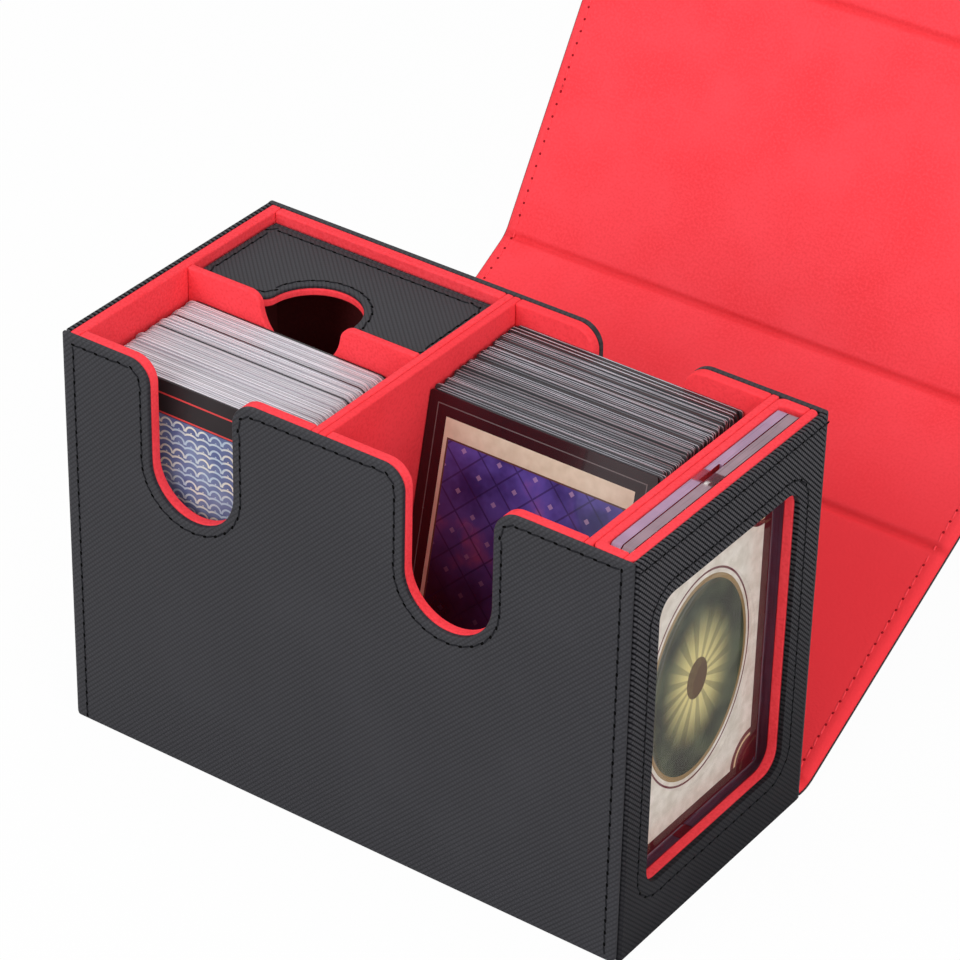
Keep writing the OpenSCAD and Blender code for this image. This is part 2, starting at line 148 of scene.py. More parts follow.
class SuedeSettings(bpy.types.PropertyGroup):
    """Red suede on the linings."""

    # Bright and deep: the ends of the nap's random patches; deep also paints the shade near the flap's hinge
    # and in its creases
    bright: paint("Bright colour", "Nap brushed towards the light", (1.0, 0.076, 0.097))
    deep: paint("Deep colour", "Nap brushed away from the light", (0.93, 0.044, 0.057))
    # Painted shade: a dark suede colour for the shade deep inside the tray
    wine: paint("Wine colour", "Suede deep inside the tray", (0.190, 0.035, 0.036))
    patch: size("Brushed patches", "Size of the lighter and darker patches of nap", 22.0)
    # Painted shade: the flap's suede is deep near the hinge and bright from the second distance on, for the
    # box's shadow on it
    hinge_shade_full: size("Turned nap", "Distance from the hinge up to which the flap's nap is deep", 55.0)
    hinge_shade_end: size("Turned nap end", "Distance from the hinge from which the flap's nap is bright", 122.0)
    nap: size("Nap", "Size of the tufts of nap", 0.8)
    nap_depth: size("Nap depth", "Height of the tufts", 0.13)
    # Darker nap in the flap's creases: partly pressed nap, partly painted crease shade
    crease: size("Pressed nap", "Half width of the darker nap in the flap's creases", 2.4)
    rounding: size("Edge rounding", "Radius of the covered board edges", 0.6)
    corner: size("Corner rounding", "Radius of the display slot's upright outer corners", 2.2)


class StitchSettings(bpy.types.PropertyGroup):
    """Sewn lines on the walls, the tray and the flap."""

    pitch: size("Pitch", "Distance from one needle hole to the next on the walls", 3.75)
    flap_pitch: size("Flap pitch", "Distance from one needle hole to the next on the flap", 3.65)
    width: size("Thread", "Thickness of the thread", 0.58)
    slant: turn("Slant", "Turn of each stitch from its line", 7.0)
    hole: size("Needle hole", "Width of a needle hole", 0.75)
    hole_length: size("Needle hole length", "Length of a needle hole along the line on the cloth", 1.3)
    rim_inset: size("Rim inset", "Line's distance from the rim and the notches", 2.5)
    side_inset: size("Side inset", "Line's distance from the upright edges of a long wall", 3.9)
    end_inset: size("End wall inset", "Line's distance from the top edge of an end wall", 3.0)
    window_inset: size("Window inset", "Line's distance from the window", 4.0)
    tray_inset: size("Tray inset", "Line's distance from the edges of the tray's top", 2.1)
    flap_inset: size("Flap inset", "Line's distance from the edges of the flap", 4.0)
    black: paint("Black thread", "Thread on the leathercloth", (0.010, 0.010, 0.012))
    red: paint("Red thread", "Thread on the suede", (0.96, 0.055, 0.070))
    black_hole: paint("Hole in the leathercloth", "Shade inside a needle hole", (0.001, 0.001, 0.001))
    red_hole: paint("Hole in the suede", "Shade inside a needle hole", (0.24, 0.008, 0.012))


class FlapSettings(bpy.types.PropertyGroup):
    """Shape of the flap's soft cover."""

    crease_width: size("Crease width", "Half width of the pressed crease lines", 1.2)
    crease_depth: size("Crease depth", "Depth of the pressed crease lines on the lining", 1.2)
    outside: share("Outside", "Depth of the crease lines on the cover, as a share of the lining's", 0.25)
    bend: size("Bend", "Length on each side of a crease that bends", 3.4)
    edge_roll: size("Edge roll", "Width over which the lining rolls down at the edges", 2.8)
    lip: size("Lip", "How far the black edge stands out beyond the lining", 0.35)
    lip_height: size("Lip height", "Thickness of the black edge that shows", 0.75)
    corner: size("Corner radius", "Radius of the free corners", 8.0)
    ripple: size("Ripple", "Height of the slow waves in the glued lining", 0.12)
    cell: size("Cell", "Spacing of the mesh away from the creases", 5.0)


class CardSettings(bpy.types.PropertyGroup):
    """Sleeved cards of both decks."""

    lift: size("Lift", "Most that a card stands above its neighbours", 0.4)
    slide: size("Slide", "Most that a card lies off to the right", 1.2)
    tilt: turn("Turn", "Most that a card is turned in its plane", 0.25)
    corner: size("Corner radius", "Radius of the card corners", 3.0)
    sleeve_corner: size("Sleeve corner radius", "Radius of the main deck's sleeve corners", 0.8)
    seed: IntProperty(name="Seed", description="Order of the random shifts and shades", default=7)
    main_sleeve: paint("Main deck sleeves", "Sleeves of the main deck", (0.052, 0.051, 0.057))
    main_core: paint("Main deck edges", "Card edges of the main deck", (0.62, 0.60, 0.67))
    main_spread: share("Main deck contrast", "Difference between the cards of the main deck", 0.7)
    # Gaps: a share of the cards painted near black, as the shade of the gaps between cards
    main_gaps: share("Main deck gaps", "Share of dark cards in the main deck", 0.14)
    side_sleeve: paint("Side deck sleeves", "Sleeves of the side deck", (0.50, 0.47, 0.52))
    side_core: paint("Side deck edges", "Card edges of the side deck", (0.90, 0.88, 0.94))
    side_spread: share("Side deck contrast", "Difference between the cards of the side deck", 0.4)
    side_gaps: share("Side deck gaps", "Share of dark cards in the side deck", 0.03)


class HolderSettings(bpy.types.PropertyGroup):
    """Clear card holder."""

    tint: paint("Tint", "Colour of the clear plastic", (0.965, 0.955, 0.965))
    # Painted reflection: the mauve edges stand for the red lining seen in the clear plastic, and the window
    # half's darker tone is painted shade
    inner_edge: paint("Inner edge", "Colour of the inner half's edges", (0.46, 0.29, 0.45))
    window_edge: paint("Window edge", "Colour of the window half's edges", (0.36, 0.24, 0.29))
    slot: paint("Thumb slot", "Shade in the thumb slot", (0.13, 0.012, 0.03))
    roughness: share("Roughness", "Surface roughness of the plastic", 0.02)
    clearness: share("Clearness", "Share of light that passes straight through the plastic", 0.94)
    rounding: size("Edge rounding", "Radius of the moulded edges", 0.3)
    seam: size("Seam", "Gap between the two halves", 0.3)


class StudioSettings(bpy.types.PropertyGroup):
    """Floor, light and camera."""

    azimuth: turn("Azimuth", "Camera's turn to the right of the front", 34.895)
    elevation: turn("Elevation", "Camera's height above the horizon", 32.995)
    roll: turn("Roll", "Camera's roll", 1.355)
    distance: size("Distance", "Camera's distance from its target", 1062.1)
    target: place("Target", "Point in the middle of the picture", (0.0014, 0.0162, 0.0795))
    lens: FloatProperty(name="Lens", description="Focal length", default=153.87, unit="CAMERA")
    key: power("Key light", "Large soft lamp in front, to the left", 10.0)
    fill: power("Fill light", "Soft lamp at the right", 9.0)
    top: power("Top light", "Soft lamp overhead", 4.0)
    sky: share("Sky", "Even light from all sides", 0.42)
    floor: paint("Floor", "Colour of the floor", (0.80, 0.80, 0.80))
    floor_white: share("Floor white", "How far the floor goes to white in the picture", 0.97)


class DeckBoxSettings(bpy.types.PropertyGroup):
    """All settings of the card deck box."""

    leathercloth: PointerProperty(type=LeatherclothSettings)
    suede: PointerProperty(type=SuedeSettings)
    stitch: PointerProperty(type=StitchSettings)
    flap: PointerProperty(type=FlapSettings)
    cards: PointerProperty(type=CardSettings)
    holder: PointerProperty(type=HolderSettings)
    studio: PointerProperty(type=StudioSettings)


def settings():
    """The settings of this scene."""
    return bpy.context.scene.deck_box


class Graph:
    """Short calls for building a node tree."""

    def __init__(self, tree):
        self.tree = tree

    def feed(self, socket, value):
        """Links a socket, or sets a plain value on it."""
        if isinstance(value, bpy.types.NodeSocket):
            self.tree.links.new(value, socket)
        else:
            socket.default_value = value

    def node(self, kind, inputs=None, **options):
        """A new node with its options and inputs set."""
        made = self.tree.nodes.new(kind)
        for key, value in options.items():
            setattr(made, key, value)
        for key, value in (inputs or {}).items():
            self.feed(made.inputs[key], value)
        return made

    def first(self, kind, inputs=None, **options):
        """First output of a new node."""
        return self.node(kind, inputs, **options).outputs[0]

    def maths(self, operation, *values):
        """Result of a Math node."""
        return self.first("ShaderNodeMath", dict(enumerate(values)), operation=operation)

    def vector(self, operation, *values):
        """Result of a Vector Math node, a number for a dot product or a length."""
        made = self.node("ShaderNodeVectorMath", dict(enumerate(values)), operation=operation)
        return made.outputs["Value" if operation in ("DOT_PRODUCT", "LENGTH") else "Vector"]

    def split(self, vector):
        """The X, Y and Z of a vector."""
        return self.node("ShaderNodeSeparateXYZ", {0: vector}).outputs

    def joined(self, **parts):
        """A vector of its X, Y and Z."""
        return self.first("ShaderNodeCombineXYZ", parts)

    def reach(self, x, y):
        """Distance from the origin of a plane."""
        return self.maths("SQRT", self.maths("ADD", self.maths("POWER", x, 2.0), self.maths("POWER", y, 2.0)))


class Finish(Graph):
    """A material under construction."""

    def __init__(self, name):
        self.material = bpy.data.materials.new(name)
        self.material.use_nodes = True
        super().__init__(self.material.node_tree)
        self.shader = self.tree.nodes["Principled BSDF"]

    def where(self, from_uv=False):
        """The place on the piece: its own UV map, or its object coordinates."""
        if from_uv:
            return self.node("ShaderNodeUVMap", uv_map="UVMap").outputs["UV"]
        return self.node("ShaderNodeTexCoord").outputs["Object"]

    def noise(self, where, grain, detail=2.0):
        """Noise from 0 to 1 with features of about the size grain."""
        return self.first("ShaderNodeTexNoise", {"Vector": where, "Scale": 1 / grain, "Detail": detail})

    def ramp(self, value, low, high):
        """0 below low, 1 above high and smooth between."""
        limits = {"Value": value, "From Min": low, "From Max": high}
        return self.first("ShaderNodeMapRange", limits, interpolation_type="SMOOTHSTEP")

    def mix(self, factor, first, second):
        """Two colours mixed."""
        first = first if isinstance(first, bpy.types.NodeSocket) else (*first, 1.0)
        second = second if isinstance(second, bpy.types.NodeSocket) else (*second, 1.0)
        made = self.node("ShaderNodeMix", {0: factor, 6: first, 7: second}, data_type="RGBA")
        return made.outputs[2]

    def between(self, value, low, high):
        """1 where the value lies between low and high."""
        above = self.maths("GREATER_THAN", value, low)
        below = self.maths("LESS_THAN", value, high)
        return self.maths("MULTIPLY", above, below)

    def shade(self, height=None, depth=0.0, **inputs):
        """Sets the shader's inputs, by their names with spaces as underscores, and its bump."""
        for key, value in inputs.items():
            self.feed(self.shader.inputs[key.replace("_", " ")], value)
        if height is not None:
            bump = self.node("ShaderNodeBump", {"Height": height, "Distance": depth, "Strength": 1.0})
            self.feed(self.shader.inputs["Normal"], bump.outputs["Normal"])
        return self.material

    def mixed(self, factor, other):
        """The material with another shader mixed over its own."""
        both = self.first("ShaderNodeMixShader", {0: factor, 1: self.shader.outputs[0], 2: other})
        self.feed(self.tree.nodes["Material Output"].inputs["Surface"], both)
        return self.material


# Leathercloth ribs, plain and bold: the width of their tops, and the tone that they fade to
PLAIN_RIBS = (0.62, 0.42)
BOLD_RIBS = (0.7, 0.13)


def leathercloth(name, across, crossing, bold=False, from_uv=False):
    """Black leathercloth with fine ribs square to the first vector across, and weaker ones to the second.

    Bold ribs are those of the end walls, and their painted light fades towards the foot, as under a lamp from
    above.
    """
    look = settings().leathercloth
    f = Finish(name)
    where = f.where(from_uv)
    wander = f.maths("MULTIPLY", f.noise(where, 9 * look.rib_pitch), 0.7)
    ribs = []
    for way in across:
        along = f.vector("DOT_PRODUCT", where, Vector(way).normalized())
        phase = f.maths("MULTIPLY_ADD", along, TURN / look.rib_pitch, wander)
        ribs.append(f.maths("MULTIPLY_ADD", f.maths("SINE", phase), 0.5, 0.5))
    grain = f.noise(where, 0.35 * look.rib_pitch, 3.0)
    height = f.maths("MULTIPLY_ADD", ribs[1], crossing, f.maths("MULTIPLY_ADD", grain, 0.35, ribs[0]))
    # Painted light and shade on the ribs: crest colour on their tops, valley colour between them
    valley, crest, depth, contrast = look.valley, look.crest, look.rib_depth, look.soft
    broad, level = BOLD_RIBS if bold else PLAIN_RIBS
    if bold:
        valley, crest, depth = look.end_valley, look.end_crest, look.end_rib_depth
        # Painted light: the ribs' contrast rises from the foot to the rim, as under a lamp from above
        low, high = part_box("left_wall")
        risen = f.ramp(f.split(where)["Z"], low.z, high.z)
        contrast = f.maths("MULTIPLY_ADD", risen, look.end_light_gain, look.end_foot_light)
        height = f.maths("MULTIPLY", height, contrast)
    crossed = f.maths("MULTIPLY_ADD", ribs[1], crossing, 1 - crossing)
    tops = f.maths("MULTIPLY", f.ramp(ribs[0], 0.0, broad), crossed)
    flecked = f.maths("MULTIPLY", tops, f.maths("MULTIPLY_ADD", f.ramp(grain, 0.2, 0.75), 0.6, 0.4))
    raised = f.maths("MULTIPLY_ADD", f.maths("SUBTRACT", flecked, level), contrast, level)
    worn = f.maths("MULTIPLY", f.ramp(f.noise(where, 30 * look.rib_pitch), 0.45, 0.8), 0.12)
    colour = f.mix(worn, f.mix(raised, valley, crest), crest)
    roughness = f.maths("MULTIPLY_ADD", grain, 0.25, 0.45)
    shine = f.maths("MULTIPLY_ADD", raised, 0.3, 0.02) if bold else 0.25
    return f.shade(height, depth, Base_Color=colour, Roughness=roughness, Specular_IOR_Level=shine)


def suede(name, bright, deep, speckle, creases=()):
    """Suede with brushed patches and a short nap.

    Creases are places along its UV map, the flap's, where the nap is pressed and painted darker as crease
    shade. Along the flap the suede is painted deep towards the hinge, for the box's shadow.
    """
    look = settings().suede
    f = Finish(name)
    where = f.where(from_uv=bool(creases))
    patches = f.maths("MULTIPLY_ADD", f.ramp(f.noise(where, look.patch, 3.0), 0.25, 0.75), 0.5, 0.25)
    tufts = f.noise(where, look.nap, 4.0)
    brushed = f.mix(patches, deep, bright)
    speckled = f.mix(f.maths("MULTIPLY", f.ramp(tufts, 0.45, 0.7), 0.6), brushed, bright)
    sunk = f.maths("MULTIPLY", f.ramp(tufts, 0.55, 0.3), speckle)
    shaded = f.mix(sunk, speckled, [0.85 * c for c in deep])
    if creases:
        along = f.split(where)["Y"]
        # Painted shade: towards the hinge the flap's suede goes to the deep colour, for the box's shadow
        shaded = f.mix(f.ramp(along, look.hinge_shade_end, look.hinge_shade_full), shaded, deep)
    # Darker suede near each crease: partly pressed nap, partly painted crease shade
    for crease in creases:
        off = f.maths("ABSOLUTE", f.maths("SUBTRACT", along, crease))
        pressed = f.maths("MULTIPLY", f.ramp(off, look.crease, 0.0), 0.32)
        shaded = f.mix(pressed, shaded, (0.6 * deep[0], 0.3 * deep[1], 0.3 * deep[2]))
    return f.shade(
        tufts,
        look.nap_depth,
        Base_Color=shaded,
        Roughness=f.maths("MULTIPLY_ADD", tufts, 0.2, 0.75),
        Specular_IOR_Level=0.1,
        Sheen_Weight=0.2,
        Sheen_Roughness=0.5,
        Sheen_Tint=(*bright, 1.0),
    )


def thread(name, colour):
    """Twisted sewing thread."""
    f = Finish(name)
    where = f.where()
    strands = f.noise(where, 0.25 * MM, 3.0)
    pale = [min(1.0, 1.8 * c) for c in colour]
    tone = f.mix(f.ramp(strands, 0.4, 0.75), colour, pale)
    return f.shade(strands, 0.05 * MM, Base_Color=tone, Roughness=0.85, Specular_IOR_Level=0.1)


def painted_hole_shade(name, colour):
    """Painted shade of a hole: a dark blob that stands for the shadow in a needle hole and in the thumb slot.
    """
    f = Finish(name)
    ragged = f.noise(f.where(), 0.3 * MM)
    tone = f.mix(f.ramp(ragged, 0.35, 0.8), colour, [1.6 * c for c in colour])
    return f.shade(ragged, 0.05 * MM, Base_Color=tone, Roughness=0.95, Specular_IOR_Level=0.05)


def board(name):
    """Bare grey board under the covers."""
    f = Finish(name)
    where = f.where()
    fibres = f.noise(where, 1.2 * MM, 5.0)
    flecks = f.ramp(f.noise(where, 0.5 * MM), 0.62, 0.75)
    tone = f.mix(f.ramp(fibres, 0.3, 0.7), (0.20, 0.18, 0.16), (0.33, 0.31, 0.28))
    speckled = f.mix(f.maths("MULTIPLY", flecks, 0.5), tone, (0.10, 0.09, 0.08))
    return f.shade(fibres, 0.06 * MM, Base_Color=speckled, Roughness=0.95)


def nickel(name, warm):
    """Plated magnet with fine scratches."""
    f = Finish(name)
    where = f.where()
    scratches = f.noise(where, 0.4 * MM, 6.0)
    stain = f.noise(where, 3 * MM)
    cool = (0.62, 0.61, 0.60)
    tone = f.mix(f.maths("MULTIPLY", f.ramp(stain, 0.3, 0.7), 0.6), cool, warm)
    roughness = f.maths("MULTIPLY_ADD", scratches, 0.3, 0.15)
    return f.shade(scratches, 0.01 * MM, Base_Color=tone, Roughness=roughness, Metallic=1.0)


def let_through(f, tint, clearness):
    """Lets a share of the light pass straight through a material."""
    return f.mixed(clearness, f.first("ShaderNodeBsdfTransparent", {"Color": (*tint, 1.0)}))


def clear_plastic(name):
    """Clear moulded plastic with faint smears, which lets the lamps through to the card inside."""
    look = settings().holder
    f = Finish(name)
    smear = f.ramp(f.noise(f.where(), 14 * MM, 3.0), 0.4, 0.7)
    f.shade(
        Base_Color=(*look.tint, 1.0),
        Roughness=f.maths("MULTIPLY_ADD", smear, 0.1, look.roughness),
        IOR=ACRYLIC_IOR,
        Transmission_Weight=1.0,
    )
    return let_through(f, look.tint, f.maths("MULTIPLY_ADD", smear, -0.02, look.clearness))


def plastic_edge(name, colour, magnet):
    """Edge of the clear plastic, painted mauve for the red lining seen in it, with fine dark painted streaks
    along it, and clear beside the magnet.
    """
    look = settings().holder
    f = Finish(name)
    where = f.where()
    lines = f.noise(f.vector("MULTIPLY", where, (1.0, 0.02, 0.02)), 0.45 * MM, 3.0)
    clouds = f.noise(f.vector("MULTIPLY", where, (0.3, 1.0, 1.0)), 9 * MM, 3.0)
    tone = f.mix(f.ramp(clouds, 0.3, 0.7), [0.78 * c for c in colour], colour)
    # Painted streaks of refraction: dark lengthwise lines in the edge
    ruled = f.mix(f.maths("MULTIPLY", f.ramp(lines, 0.45, 0.3), 0.55), tone, [0.45 * c for c in colour])
    roughness = f.maths("MULTIPLY_ADD", clouds, 0.2, 0.12)
    f.shade(lines, 0.05 * MM, Base_Color=ruled, Roughness=roughness, IOR=ACRYLIC_IOR)
    beside = f.maths("ABSOLUTE", f.maths("SUBTRACT", f.split(where)["Y"], magnet.y))
    return let_through(f, look.tint, f.maths("MULTIPLY_ADD", f.ramp(beside, 3.4 * MM, 2.4 * MM), 0.72, 0.12))


def card_edges(name, sleeve, core, spread, dark_share):
    """Stacked cards: sleeve film on both sides of each card and the paler card between."""
    f = Finish(name)
    where = f.where()
    depth = f.node("ShaderNodeAttribute", attribute_name="depth").outputs["Fac"]
    shade = f.node("ShaderNodeAttribute", attribute_name="shade").outputs["Fac"]
    streaks = f.noise(f.vector("MULTIPLY", where, (0.05, 1.0, 1.0)), 0.9 * MM, 4.0)
    inside = f.between(depth, 0.25, 0.78)
    dim = f.mix(f.ramp(shade, 0.0, 1.0), [(1 - spread) * c for c in core], core)
    flecked = f.mix(f.maths("MULTIPLY", f.ramp(streaks, 0.55, 0.35), 0.6 * spread), dim, sleeve)
    film = f.mix(f.ramp(shade, 0.2, 1.0), [(1 - 0.5 * spread) * c for c in sleeve], sleeve)
    # Painted glints: pale streaks on the sleeve film
    film_painted_glints = f.mix(f.maths("MULTIPLY", f.ramp(streaks, 0.58, 0.75), 0.5), film, core)
    layered = f.mix(inside, film_painted_glints, flecked)
    # Painted shade: a share of the cards goes near black, for the dark gaps between cards
    empty = f.maths("LESS_THAN", shade, dark_share)
    stacked = f.mix(empty, layered, (0.010, 0.010, 0.011))
    faced = f.maths("MAXIMUM", f.maths("LESS_THAN", depth, 0.01), f.maths("GREATER_THAN", depth, 0.99))
    tone = f.mix(faced, stacked, sleeve)
    roughness = f.maths("MULTIPLY_ADD", streaks, 0.3, 0.25)
    return f.shade(streaks, 0.02 * MM, Base_Color=tone, Roughness=roughness)


class Print(Finish):
    """A printed card under construction. Places on it are in millimetres from its middle and its edges."""

    def __init__(self, name, width, height):
        super().__init__(name)
        self.spot = self.where(from_uv=True)
        parts = self.split(self.spot)
        self.x, self.y = (self.maths("MULTIPLY", parts[axis], 1 / MM) for axis in "XY")
        self.side, self.end = (
            self.maths("SUBTRACT", 0.5 * length / MM, self.maths("ABSOLUTE", place))
            for length, place in ((width, self.x), (height, self.y))
        )
        self.edge = self.maths("MINIMUM", self.side, self.end)

    def inside(self, side, end):
        """Distance inwards from a frame that stands that far in from the sides and the ends."""
        across = self.maths("SUBTRACT", self.side, side)
        return self.maths("MINIMUM", across, self.maths("SUBTRACT", self.end, end))

    def lattice(self, pitch):
        """Distance from the middle of the nearest diamond of a diagonal lattice, 0 to 1."""
        ways = (self.maths("PINGPONG", self.maths(way, self.x, self.y), pitch) for way in ("ADD", "SUBTRACT"))
        return self.maths("DIVIDE", self.maths("MAXIMUM", *ways), pitch)

    def gloss(self, colour, film=0.3):
        """The finished print, under smooth sleeve film of that strength."""
        waves = self.noise(self.spot, 20 * MM)
        return self.shade(
            waves,
            0.05 * MM,
            Base_Color=colour,
            Roughness=self.maths("MULTIPLY_ADD", waves, 0.1, 0.45 - 0.8 * film),
            Coat_Weight=film,
            Specular_IOR_Level=0.1 + film,
        )


def lattice_print(name, width, height):
    """Card back with a diamond lattice on a clouded violet field and cream bands, in a dark wider sleeve."""
    f = Print(name, width, height)
    clouds = f.noise(f.spot, 17 * MM, 4.0)
    dusk = f.ramp(f.maths("MULTIPLY_ADD", f.x, 0.6, f.y), -34.0, 22.0)
    field = f.mix(f.ramp(clouds, 0.32, 0.58), (0.022, 0.018, 0.13), (0.10, 0.075, 0.38))
    field = f.mix(f.ramp(clouds, 0.54, 0.74), field, (0.46, 0.12, 0.30))
    field = f.mix(dusk, (0.016, 0.008, 0.014), field)
    cells = f.lattice(5.5)
    lines = f.maths("MULTIPLY", f.maths("GREATER_THAN", cells, 0.94), 0.6)
    studs = f.maths("MULTIPLY", f.maths("LESS_THAN", cells, 0.16), f.maths("MULTIPLY", dusk, 0.4))
    field = f.mix(lines, field, (0.012, 0.008, 0.045))
    field = f.mix(studs, field, (0.66, 0.46, 0.66))
    cream = f.mix(f.noise(f.spot, 3 * MM), (0.56, 0.47, 0.34), (0.78, 0.70, 0.56))
    inner = f.inside(6.9, 11.1)
    framed = f.mix(f.maths("LESS_THAN", inner, 0.0), field, cream)
    banded = f.mix(f.between(inner, 0.0, 0.5), framed, (0.10, 0.05, 0.04))
    inked = f.mix(f.maths("LESS_THAN", f.edge, 5.8), banded, (0.020, 0.007, 0.010))
    film = f.between(f.edge, 2.7, 3.0)
    return f.gloss(f.mix(f.maths("MULTIPLY", film, 0.22), inked, (0.55, 0.50, 0.50)))


def scallop_print(name, width, height):
    """Card back with rows of scallops on a blue grey field, two coral lines and a slate border."""
    f = Print(name, width, height)
    pitch = 4.0
    shift = f.maths("MULTIPLY", f.maths("FLOOR", f.maths("DIVIDE", f.y, pitch)), pitch)
    along = f.maths("SUBTRACT", f.maths("PINGPONG", f.maths("ADD", f.x, shift), pitch), 0.5 * pitch)
    reach = f.reach(along, f.maths("SUBTRACT", f.y, shift))
    arcs = f.maths("LESS_THAN", f.maths("PINGPONG", reach, 0.9), 0.28)
    clouds = f.noise(f.spot, 15 * MM, 3.0)
    field = f.mix(f.ramp(clouds, 0.3, 0.7), (0.075, 0.095, 0.23), (0.20, 0.24, 0.38))
    pale = f.mix(f.ramp(f.noise(f.spot, 9 * MM), 0.40, 0.62), (0.46, 0.56, 0.66), (0.80, 0.74, 0.60))
    field = f.mix(f.maths("MULTIPLY", arcs, 0.85), field, pale)
    slate = f.mix(clouds, (0.013, 0.011, 0.012), (0.034, 0.026, 0.028))
    bordered = f.mix(f.maths("LESS_THAN", f.edge, 10.0), field, slate)
    coral = f.maths("MAXIMUM", f.between(f.edge, 3.6, 4.1), f.between(f.edge, 9.3, 9.8))
    return f.gloss(f.mix(coral, bordered, (0.62, 0.055, 0.055)), film=0.04)


def medallion_print(name, width, height):
    """Card back with a rayed green medallion on cream, quarter rounds in the corners and a maroon border."""
    f = Print(name, width, height)
    reach = f.reach(f.x, f.maths("MULTIPLY", f.y, 0.76))
    rays = f.maths("SINE", f.maths("MULTIPLY", f.maths("ARCTAN2", f.y, f.x), 16.0))
    clouds = f.noise(f.spot, 11 * MM, 4.0)
    deep = f.mix(f.ramp(clouds, 0.35, 0.65), (0.022, 0.028, 0.014), (0.075, 0.095, 0.050))
    glow = f.mix(f.ramp(reach, 4.0, 17.0), (0.74, 0.66, 0.26), deep)
    rayed = f.mix(f.maths("MULTIPLY", f.maths("GREATER_THAN", rays, 0.2), 0.45), glow, deep)
    heart = f.mix(f.maths("LESS_THAN", reach, 4.6), rayed, (0.10, 0.055, 0.020))
    cream = f.mix(f.ramp(f.noise(f.spot, 4 * MM, 4.0), 0.3, 0.7), (0.66, 0.62, 0.51), (0.82, 0.79, 0.68))
    ground = f.mix(f.maths("LESS_THAN", reach, 22.5), cream, heart)
    ground = f.mix(f.between(reach, 21.4, 22.5), ground, (0.30, 0.20, 0.08))
    ground = f.mix(f.between(reach, 23.4, 23.9), ground, (0.12, 0.010, 0.016))
    border = 3.4
    corner = f.reach(f.maths("SUBTRACT", f.side, border), f.maths("SUBTRACT", f.end, border))
    ground = f.mix(f.maths("LESS_THAN", corner, 9.0), ground, (0.13, 0.012, 0.018))
    ground = f.mix(f.between(corner, 6.6, 7.4), ground, (0.70, 0.60, 0.34))
    return f.gloss(f.mix(f.maths("LESS_THAN", f.edge, border), ground, (0.085, 0.008, 0.012)), film=0.0)


def shared(maker, name, *details):
    """The material of that name, made the first time that it is asked for."""
    return bpy.data.materials.get(name) or maker(name, *details)


# For each direction: the ways across the strong and the weak ribs, and the weak ones' share
RIB_WAYS = {
    "front": (((1, 0, -1), (1, 0, 1)), 0.5),
    "back": (((1, 0, 1), (1, 0, -1)), 0.5),
    "end": (((0, 1, 1), (0, 1, -1)), 0.5),
    "top": (((1, 1, 0), (1, -1, 0)), 0.12),
}


def black_cloth(direction):
    """Leathercloth for a panel that is seen along that axis. Its ribs run at 45 degrees."""
    return shared(leathercloth, "leathercloth_" + direction, *RIB_WAYS[direction], direction == "end")


def red_suede():
    """Suede of the boards."""
    look = settings().suede
    return shared(suede, "suede_boards", look.bright, look.deep, 0.45)


def shaded_bay_suede():
    """Darker copy of the board suede for two of the main bay's boards: painted shade."""
    look = settings().suede
    halfway = [0.5 * (a + b) for a, b in zip(look.bright, look.deep)]
    return shared(suede, "suede_deep", halfway, look.deep, 0.45)


def tray_shade_suede():
    """Suede deep inside the tray, painted dark as the shade inside it."""
    look = settings().suede
    return shared(suede, "suede_tray", look.wine, [0.7 * c for c in look.wine], 0.3)


def linked(name, mesh):
    """A new object in the scene."""
    piece = bpy.data.objects.new(name, mesh)
    bpy.context.scene.collection.objects.link(piece)
    return piece


def baked(piece):
    """The piece with its modifiers made a plain mesh."""
    evaluated = piece.evaluated_get(bpy.context.evaluated_depsgraph_get())
    mesh = bpy.data.meshes.new_from_object(evaluated)
    piece.modifiers.clear()
    piece.data = mesh
    mesh.name = piece.name
    return piece


def set_on(piece, body, slot, *nodes):
    """Lets a piece move with a body and stand for CAD nodes, which it hides. The slot is not used."""
    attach(piece, body)
    if nodes:
        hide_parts(*nodes)
    return piece


def dress(node, material):
    """Gives a CAD node that keeps its shape a material."""
    mesh = frame["nodes"][node].data
    mesh.materials.clear()
    mesh.materials.append(material)


def welded(node):
    """A node's loose triangles joined, with its flat faces merged."""
    bm = bmesh.new()
    bm.from_mesh(frame["nodes"][node].data)
    bmesh.ops.remove_doubles(bm, verts=bm.verts, dist=WELD)
    bmesh.ops.dissolve_limit(bm, angle_limit=FLAT_ANGLE, verts=bm.verts, edges=bm.edges)
    bm.normal_update()
    return bm


def rounded_board(name, node, material, rounding, corner=0.0, corner_share=None, move=None):
    """A node's board with rounded edges, some by a share of the radius corner, and some points moved."""
    bm = welded(node)
    bm.verts.index_update()
    points = [move(v.co.copy()) if move else v.co.copy() for v in bm.verts]
    mesh = bpy.data.meshes.new(name)
    mesh.from_pydata(points, [], [[v.index for v in f.verts] for f in bm.faces])
    bm.free()
    mesh.materials.append(material)
    mesh.shade_smooth()
    piece = linked(name, mesh)
    if corner_share:
        weights = mesh.attributes.new("bevel_weight_edge", "FLOAT", "EDGE")
        for edge, weight in zip(mesh.edges, weights.data):
            first, second = (points[i] for i in edge.vertices)
            weight.value = corner_share(first, second)
        heavy = piece.modifiers.new("Corners", "BEVEL")
        heavy.limit_method = "WEIGHT"
        heavy.width = corner
        heavy.segments = 2 * ROUND_STEPS
    light = piece.modifiers.new("Edges", "BEVEL")
    light.limit_method = "ANGLE"
    light.angle_limit = EDGE_ANGLE
    light.width = rounding
    light.segments = ROUND_STEPS
    light.harden_normals = True
    return baked(piece)


def close(first, second):
    """True where two lengths are the same."""
    return abs(first - second) < 10 * WELD


